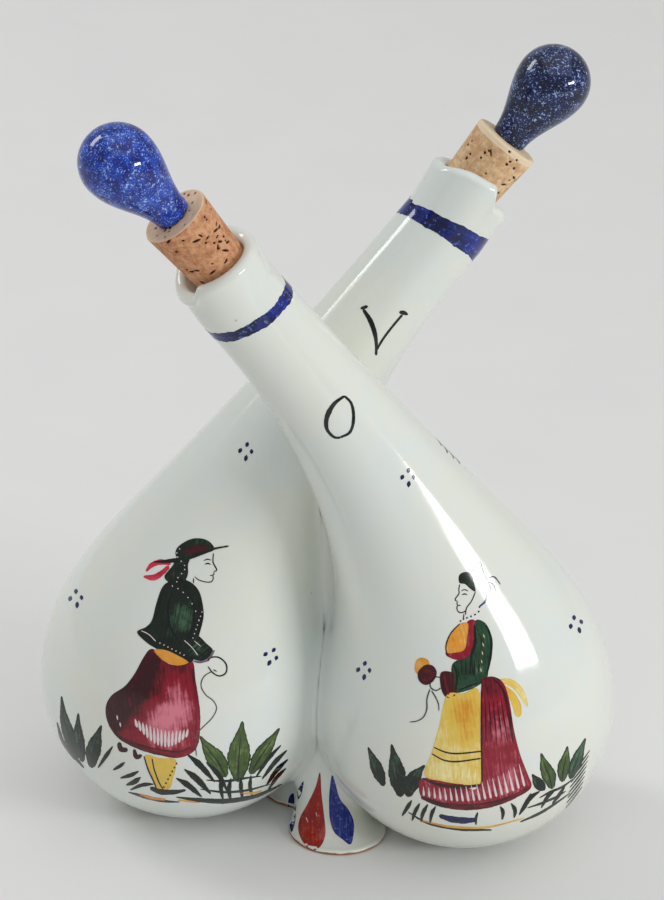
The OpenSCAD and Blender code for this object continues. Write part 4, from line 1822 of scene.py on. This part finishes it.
    def skirt(self) -> list[Mark]:
        """Return the skirt, the apron over it, the bow behind and the ground.

        Returns:
            The marks.
        """
        marks: list[Mark] = [
            Stroke(Paint.YELLOW, (4.0, 7.4, 6.4, 2.4), ((497, 681), (510, 682.5), (520, 691),
                (527.5, 706.5)), layer=0, load=0.3),
            Stroke(Paint.YELLOW, (3.0, 7.0, 8.6, 6.4), ((501, 685), (510, 693), (516.5, 705), (518.5, 717)),
                layer=1, load=0.56),
            Wash(Paint.CRIMSON, ((481, 688), (485.5, 678), (495, 677), (504, 684), (509.5, 702), (514, 730),
                (520, 754), (528, 775), (531.5, 786), (524, 793.5), (507, 801), (487, 807.5), (466, 810),
                (445, 806.5), (425, 800.5), (419, 789), (423.5, 778), (457, 782), (479, 783)), layer=2,
                grain=82, load=0.52, pools=((492, 684, 12, 0.3), (482, 730, 8, 0.15), (500, 730, 14, -0.22),
                (510, 782, 16, -0.25), (440, 795, 12, -0.2), (476, 792, 14, -0.16), (455, 786, 10, 0.3))),
            Wash(Paint.YELLOW, ((447, 695), (463, 693.5), (479, 690.5), (480, 735), (480.5, 782.5),
                (462, 784), (442, 781), (424.5, 775), (431.5, 753), (439.5, 725)), layer=3, grain=84,
                load=0.34, pools=((468, 705, 16, 0.42), (470, 732, 14, 0.36), (458, 716, 10, 0.2),
                (446, 770, 14, -0.16))),
            Stroke(Paint.MAROON, (1.2, 3.2, 3.6, 2.4), ((422, 778), (437, 784), (458, 787), (481, 785)),
                layer=5),
            Stroke(Paint.CRIMSON, (3.0, 5.0, 6.0, 6.0, 5.0, 3.0), ((421, 797), (440, 804), (463, 807),
                (487, 805), (510, 798), (530, 787)), layer=4, load=0.8),
            Stroke(Paint.CRIMSON, (1.2, 3.0, 3.4, 2.0), ((494, 679), (503, 690), (508.5, 712), (513, 742)),
                layer=4, load=0.9),
            Stroke(Paint.CRIMSON, (1.4, 2.0, 1.6), ((481.5, 690), (481.5, 735), (482, 783)), layer=5,
                load=0.9),
            Stroke(Paint.INK, (1.2, 1.7, 1.4), ((433.5, 747), (446, 752.2), (459, 753.4), (482.5, 751)),
                layer=6),
            Stroke(Paint.INK, (1.2, 1.7, 1.4), ((431.5, 753.4), (444, 760), (458, 761.4), (481, 758.2)),
                layer=6),
            Stroke(Paint.YELLOW, (1.0, 2.2, 2.0, 1.0), ((418, 819.5), (450, 826.5), (488, 827), (524, 818)),
                layer=1),
            Stroke(Paint.NAVY, (3.6, 6.2, 6.4, 3.6), ((439, 815.5), (451, 819), (464, 820.4), (477, 819.6)),
                layer=2),
        ]
        for k in range(5):
            marks.append(Stroke(Paint.CRIMSON, (0.8, 1.8, 1.0), ((485 + 4 * k, 700), (486 + 5.4 * k, 742)),
                layer=3, load=0.8))
        for k in range(8):
            x = 431 + 6.4 * k
            marks.append(Stroke(Paint.YELLOW, (0.6, 2.4, 1.0), ((x, 764 + 0.9 * min(k, 4)),
                (x - 1.0, 777 + 0.6 * k)), layer=4, load=0.0))
        for k in range(19):
            u = k / 18
            x, y = 424 + 99 * u, 791 + 6 * math.sin(3.0 * u) - 17 * u * u
            long = 10 + 13 * u
            marks.append(Stroke(Paint.MILK, (0.4, 1.2, 2.2, 2.4), ((x - 0.6 - 3.6 * u, y - long / 2),
                (x + 1.4 * u, y + long / 2)), layer=5))
        return marks


@dataclass(frozen=True)
class Meadow:
    """Leaves and grass strokes at both figures' feet."""

    def marks(self) -> list[Mark]:
        """Return all leaves and strokes.

        Returns:
            The marks, the lowest first.
        """
        marks: list[Mark] = []
        leaves = (
            (Paint.LEAF, 17, ((226, 777), (218, 762), (209, 750), (200, 736))),
            (Paint.LEAF, 22, ((238, 782), (238.5, 764), (240, 744), (242.5, 721))),
            (Paint.LEAF, 14, ((250, 774), (259, 759), (269, 744), (279.5, 728))),
            (Paint.PINE, 10.5, ((77, 760), (70, 738), (64, 717), (61.5, 696))),
            (Paint.PINE, 10, ((83, 762), (79.5, 745), (78, 730), (78.3, 713))),
            (Paint.PINE, 14, ((92, 768), (93, 753), (96.5, 739), (101.5, 725))),
            (Paint.LEAF, 13, ((552, 789), (549, 776), (545, 766), (541, 753))),
            (Paint.LEAF, 11, ((562, 782), (563, 770), (565.5, 759), (567.5, 746))),
            (Paint.FERN, 10, ((570, 779), (575, 765), (580, 752), (585.5, 738))),
            (Paint.PINE, 10, ((545, 790), (539, 784), (532, 774))),
            (Paint.PINE, 11, ((384, 786), (378, 771), (368, 747))),
            (Paint.PINE, 16, ((401, 797), (398, 779), (395, 762), (391.5, 744))),
            (Paint.PINE, 15, ((408, 797), (411, 784), (417, 774), (425, 765))),
        )
        for paint, width, path in leaves:
            marks += leaf(paint, width, *path)
        strokes = (
            ((187, 754), (200, 765), (215, 782), 3.6), ((184, 769), (197, 779), (211, 794), 3.8),
            ((176, 778), (188, 785), (202, 797), 3.4), ((206, 762), (218, 774), (228, 792), 3.0),
            ((287, 750), (275, 762), (262, 779), 2.6), ((288, 759), (276, 771), (266, 786), 2.6),
            ((286, 768), (277, 777), (268, 790), 2.2), ((281, 745), (268, 759), (256, 777), 2.2),
            ((222, 776), (221, 788), (223, 800), 2.6), ((231, 778), (229, 790), (231, 802), 2.6),
            ((241, 777), (241, 789), (243, 801), 2.4), ((251, 775), (250, 787), (253, 798), 2.2),
            ((57, 722), (63, 742), (75, 760), 1.8), ((67, 746), (75, 757), (84, 768), 1.8),
            ((125, 762), (120, 766), (113, 770), 2.2), ((139, 771), (131, 775), (120, 778), 2.4),
            ((141, 777), (134, 782), (126, 785), 3.0), ((154, 784), (142, 785), (130, 790), 2.2),
            ((113, 746), (106, 756), (98, 768), 2.4), ((540, 791), (530, 798), (520, 812), 2.6),
            ((556, 789), (548, 796), (541, 808), 2.2), ((565, 786), (559, 795), (552, 804), 2.0),
            ((531, 793), (527, 802), (519, 815), 2.6), ((420, 803), (415, 812), (412, 821), 2.4),
            ((428, 804), (423, 813), (421, 822), 2.4), ((436, 806), (432, 813), (430, 823), 2.2),
            ((500, 806), (503, 812), (502, 820), 2.2), ((511, 803), (515, 810), (514, 818), 2.4),
            ((478, 812), (476, 818), (476, 825), 1.6), ((412, 800), (407, 808), (402, 816), 2.4),
        )
        for start, middle, end, width in strokes:
            marks.append(Stroke(Paint.PINE, (1.0, width * 1.75, width * 1.5, 1.3), (start, middle, end),
                layer=3, load=0.66))
        for k in range(8):
            x, y = 590 - 1.1 * k, 750 + 5.2 * k
            marks.append(Stroke(Paint.FERN, (0.5, 1.5, 1.0), ((x, y), (x - 8, y + 11), (x - 17, y + 22)),
                layer=2, load=0.7))
        blades = (
            ((206, 780), (226, 781), (246, 778), (262, 776)),
            ((200, 789), (224, 792), (248, 790), (270, 784)),
            ((539, 798), (550, 792), (562, 787), (573, 779)),
            ((527, 808), (542, 803), (556, 797), (566, 791)),
        )
        for path in blades:
            marks.append(Stroke(Paint.FERN, (0.8, 2.4, 2.2, 0.8), path, layer=2, load=0.7))
        marks += [
            Stroke(Paint.PINE, (1.0, 4.0, 5.0, 4.6, 3.4, 1.2), ((176, 797), (200, 800), (226, 801),
                (252, 797), (268, 791), (282, 784)), layer=2),
            Stroke(Paint.PINE, (1.0, 3.0, 3.4, 1.4), ((408, 812), (428, 823), (460, 829), (492, 830)),
                layer=0),
            Stroke(Paint.PINE, (1.2, 2.8, 2.2, 0.8), ((520, 822), (540, 813), (556, 803), (570, 793)),
                layer=2),
            Stroke(Paint.PINE, (1.0, 3.6, 3.0, 1.0), ((128, 792), (146, 797), (164, 801), (180, 802)),
                layer=0),
        ]
        return marks


@dataclass(frozen=True)
class BackSprig:
    """A plain leafy sprig on the back of the oil bottle, of which four leaf tips show from the front."""

    tips: tuple[Spot, ...] = ((441, 445.5), (447, 453), (453.5, 458.5), (459.5, 463.5))
    view: View = View(azimuth=118.0, elevation=34.0, roll=0.0, aim=(20.0, -10.0, 90.0), aim_px=(0.0, 0.0))

    def add_to(self, decor: Decor, front: View) -> None:
        """Paint the sprig as it is seen from behind and above.

        Args:
            decor: The piece to paint it in.
            front: The view in which its tips show.
        """
        spots = [decor.body.touch(front.place, front.ray(*tip)) for tip in self.tips]
        ends = np.array([self.view.project(spot[0]) for spot in spots if spot is not None])
        along = (ends[-1] - ends[0]) / (len(ends) - 1)
        across = np.array([along[1], -along[0]]) / np.linalg.norm(along)
        across = across if across[0] > 0 else -across
        stem = [ends[0] + along * k + across * (46 - 0.5 * k * k) for k in range(-2, 8)]
        marks: list[Mark] = [Stroke(Paint.FERN, (1.4, 2.8, 3.0, 1.6), tuple(map(tuple, stem)), layer=1)]
        for k in range(-2, 7):
            root = ends[0] + along * (k + 1.6) + across * 44
            near = ends[k] if 0 <= k < len(ends) else ends[0] + along * k + across * 16
            far = ends[0] + along * (k - 0.2) + across * 84
            for paint, width, end in ((Paint.PINE, 11.0, near), (Paint.LEAF, 8.0, far)):
                bend = (root * 0.55 + end * 0.45) - along * 0.2
                marks += leaf(paint, width, tuple(root), tuple(bend), tuple(end))
        decor.paint(marks, self.view)


# The stage


@dataclass(frozen=True)
class Lamp:
    """One soft rectangular lamp that faces the cruet, its second side along the picture's up.

    Its place and its sides are in metres, its power in watts and its turn about its own beam in degrees.
    """

    name: str
    place: tuple[float, float, float]
    size: Spot
    watts: float
    turn: float = 0.0

    def build(self, up: Vector) -> None:
        """Make the lamp.

        Args:
            up: The picture's up.
        """
        data = bpy.data.lights.new(self.name, "AREA")
        data.shape, data.size, data.size_y, data.energy = "RECTANGLE", *self.size, self.watts
        lamp = bpy.data.objects.new(self.name, data)
        z = (Vector(self.place) - Vector((0, 0, 0.08))).normalized()
        y = (up - z * up.dot(z)).normalized()
        facing = Matrix((y.cross(z), y, z)).transposed().to_4x4()
        turned = facing @ Matrix.Rotation(math.radians(self.turn), 4, "Z")
        lamp.matrix_world = Matrix.Translation(Vector(self.place)) @ turned
        bpy.context.scene.collection.objects.link(lamp)


@dataclass(frozen=True)
class Studio:
    """Camera, lamps, floor and backdrop."""

    view: View = View()
    lamps: tuple[Lamp, ...] = (
        Lamp("key", (0.79, -0.85, 0.41), (0.42, 0.12), 4.8, 20.0),
        Lamp("top", (0.3, -0.4, 2.1), (3.0, 3.0), 17.0),
        Lamp("rim", (-0.74, 0.61, 0.82), (0.26, 0.5), 3.2),
    )
    sky_strength: float = 0.4
    floor_half: float = 2.4
    floor_back: float = 1.2
    sweep_r: float = 0.8

    def build_camera(self) -> None:
        """Make the camera, turned a little so that the aim point lies off the middle of the picture."""
        data = bpy.data.cameras.new("camera")
        data.sensor_width = 36.0
        data.lens = self.view.focal_px / (2 * self.view.middle_px[1]) * data.sensor_width
        data.clip_start, data.clip_end = 0.05, 20.0
        camera = bpy.data.objects.new("camera", data)
        camera.matrix_world = Matrix.Translation(self.view.place) @ self.view.turned.to_4x4()
        bpy.context.scene.collection.objects.link(camera)
        bpy.context.scene.camera = camera

    def build_floor(self) -> None:
        """Make the pale floor that sweeps up into a backdrop."""
        material, n, shader, place = start_material("pale_floor")
        grain = n.noise(place, 30.0, 3.0)
        n.put(shader.inputs["Base Color"], n.mix(grain, rgb(230, 230, 230), rgb(235, 235, 234)))
        shader.inputs["Roughness"].default_value = 0.9
        back, r = self.floor_back, self.sweep_r
        path = [(-1.6, 0.0), (back, 0.0)]
        path += [(back + r * math.sin(a), r - r * math.cos(a)) for a in np.radians(np.linspace(9, 90, 10))]
        path.append((back + r, 2.6))
        points = [(x, y, z) for y, z in path for x in (-self.floor_half, self.floor_half)]
        faces = [(2 * i, 2 * i + 1, 2 * i + 3, 2 * i + 2) for i in range(len(path) - 1)]
        new_piece("floor_sweep", np.array(points), faces, [material], 1.0)

    def build(self) -> None:
        """Set the whole stage."""
        scene = bpy.context.scene
        scene.view_settings.view_transform = "Standard"
        self.build_camera()
        self.build_floor()
        for lamp in self.lamps:
            lamp.build(self.view.axes()[1])
        world = bpy.data.worlds.new("studio")
        world.use_nodes = True
        n = Nodes(world.node_tree)
        sky = world.node_tree.nodes["Background"]
        sky.inputs["Color"].default_value = (1.0, 1.0, 1.0, 1.0)
        sky.inputs["Strength"].default_value = self.sky_strength
        n.put(world.node_tree.nodes["World Output"].inputs["Surface"], sky.outputs[0])
        scene.world = world


def main() -> None:
    """Build the cruet part by part, and report each piece."""
    logging.basicConfig(level=logging.INFO, format="%(name)s: %(message)s")
    studio = Studio()
    studio.build()
    body = CruetBody()
    glazed = body.build(MilkGlaze().build())
    log.info("%s: %d faces", glazed.name, len(glazed.data.polygons))
    palette: dict[Paint, bpy.types.Material] = {}
    bands = Decor("neck_bands", body)
    NeckBand(Side.OIL, 17.9, (-1.76, 0.39), 1.5).add_to(bands)
    NeckBand(Side.VINEGAR, 14.1, (-0.1, -3.0), 2.6).add_to(bands)
    painted = [bands]
    for name, marks in (("letters", Lettering().marks()), ("dot_motifs", Scatter().marks()),
                        ("foot_petals", FootPaint().marks()), ("meadow", Meadow().marks()),
                        ("lad_figure", Lad().marks()), ("spinner_figure", Spinner().marks())):
        decor = Decor(name, body)
        decor.paint(marks, studio.view)
        painted.append(decor)
    sprig = Decor("back_sprig", body)
    BackSprig().add_to(sprig, studio.view)
    for decor in (*painted, sprig):
        piece = decor.finish(palette)
        log.info("%s: %d faces", piece.name, len(piece.data.polygons))
    bark = CorkBark().build()
    pale_bark = CorkBark("pale_cork_bark", light=rgb(228, 200, 160), dark=rgb(200, 156, 112)).build()
    chips = ((200, 1.1), (228, 0.77), (262, 0.99), (305, 0.66), (20, 0.55))
    night = SpongedCobalt(deep=rgb(8, 14, 48), mid=rgb(20, 36, 92), openness=0.4, name="sponged_cobalt_dark")
    stoppers = [
        Stopper(Side.OIL, "oil_stopper", "oil_cork", "oil_knob", 9.6, 20.0, 5.0, SpongedCobalt(), 11),
        Stopper(Side.VINEGAR, "vinegar_stopper", "vinegar_cork", "vinegar_knob", 9.3, 18.2, -1.5, night, 23,
                chips=chips, pale_edge=2.4),
    ]
    for stopper in stoppers:
        cork = stopper.build_cork(pale_bark if stopper.side is Side.VINEGAR else bark)
        knob = stopper.build_knob()
        for piece in (cork, knob):
            log.info("%s: %d faces", piece.name, len(piece.data.polygons))


if __name__ == "__main__":
    main()
